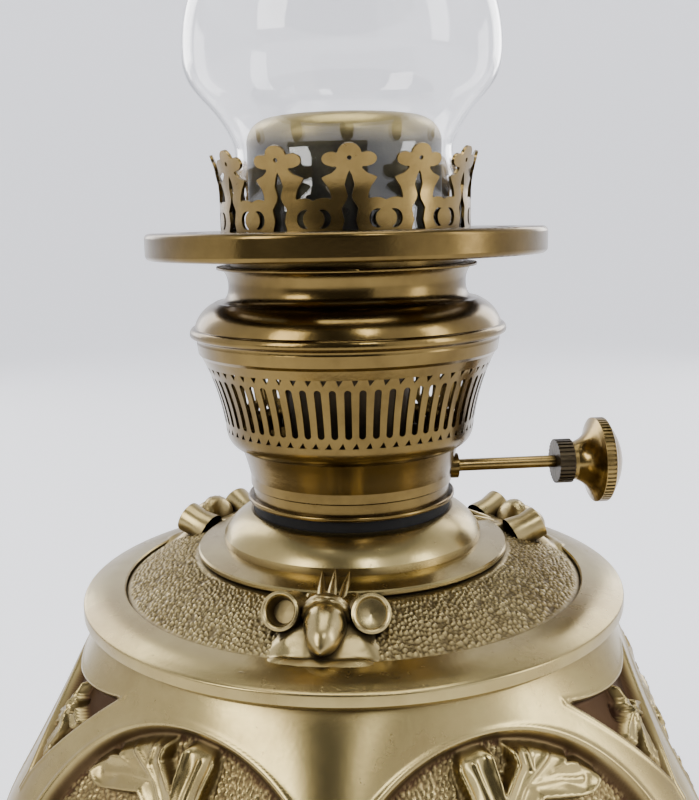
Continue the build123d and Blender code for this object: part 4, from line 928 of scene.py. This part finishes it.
# Panels: name, place in metres, width, height, power in watts, colour.
LIGHTS = (
    ("key_left", (-1.2, -0.9, 1.0), 0.6, 1.0, 20, (1.0, 0.99, 0.97)),
    ("fill_right", (1.3, -0.6, 0.7), 0.4, 1.1, 11, (0.97, 0.98, 1.0)),
    ("window", (0.35, -1.7, 1.9), 0.35, 0.7, 13, (0.96, 0.98, 1.0)),
    ("top", (0.0, 0.1, 1.7), 1.0, 1.0, 14, (1, 1, 1)),
    ("back_left", (-0.9, 1.3, 0.9), 0.6, 1.2, 10, (1, 1, 1)),
    ("back_right", (1.1, 1.2, 0.8), 0.6, 1.0, 9, (1, 1, 1)),
)
ROOM_COLOUR, ROOM_STRENGTH = (0.82, 0.86, 0.95, 1), 0.5


def build_light():
    """Soft studio light: a pale room and a few large panels."""
    world = bpy.data.worlds.new("room")
    world.use_nodes = True
    bpy.context.scene.world = world
    back = world.node_tree.nodes["Background"]
    back.inputs["Color"].default_value = ROOM_COLOUR
    back.inputs["Strength"].default_value = ROOM_STRENGTH
    for panel in LIGHTS:
        area_light(*panel)


CAMERA_AWAY, CAMERA_HEIGHT = 0.269, 0.2838  # metres
CAMERA_SWING, CAMERA_DIP, CAMERA_ROLL = 5, 10.16, 1.23  # degrees
CAMERA_LENS, CAMERA_SENSOR = 45, 36  # millimetres


def build_camera():
    """The photograph's view: close, from slightly above the shoulder ring."""
    away = CAMERA_AWAY
    swing, dip, roll = radians(CAMERA_SWING), radians(CAMERA_DIP), radians(CAMERA_ROLL)
    forward = Vector((sin(swing) * cos(dip), cos(swing) * cos(dip), -sin(dip)))
    right = Vector((cos(swing), -sin(swing), 0))
    up = Vector((sin(swing) * sin(dip), cos(swing) * sin(dip), cos(dip)))
    local_x = right * cos(roll) - up * sin(roll)
    local_y = right * sin(roll) + up * cos(roll)
    turn = Matrix((local_x, local_y, -forward)).transposed().to_4x4()
    data = bpy.data.cameras.new("camera")
    data.lens = CAMERA_LENS
    data.sensor_width = CAMERA_SENSOR
    data.clip_start = 0.01
    camera = bpy.data.objects.new("camera", data)
    place = Vector((-sin(swing) * away, -cos(swing) * away, CAMERA_HEIGHT))
    camera.matrix_world = Matrix.Translation(place) @ turn
    bpy.context.scene.collection.objects.link(camera)
    bpy.context.scene.camera = camera


dress_cad_nodes()
build_urn()
build_shoulder_ring()
build_dome()
build_clusters()
build_crown()
build_glass()
build_stage()
build_dark_card()
build_light()
build_camera()
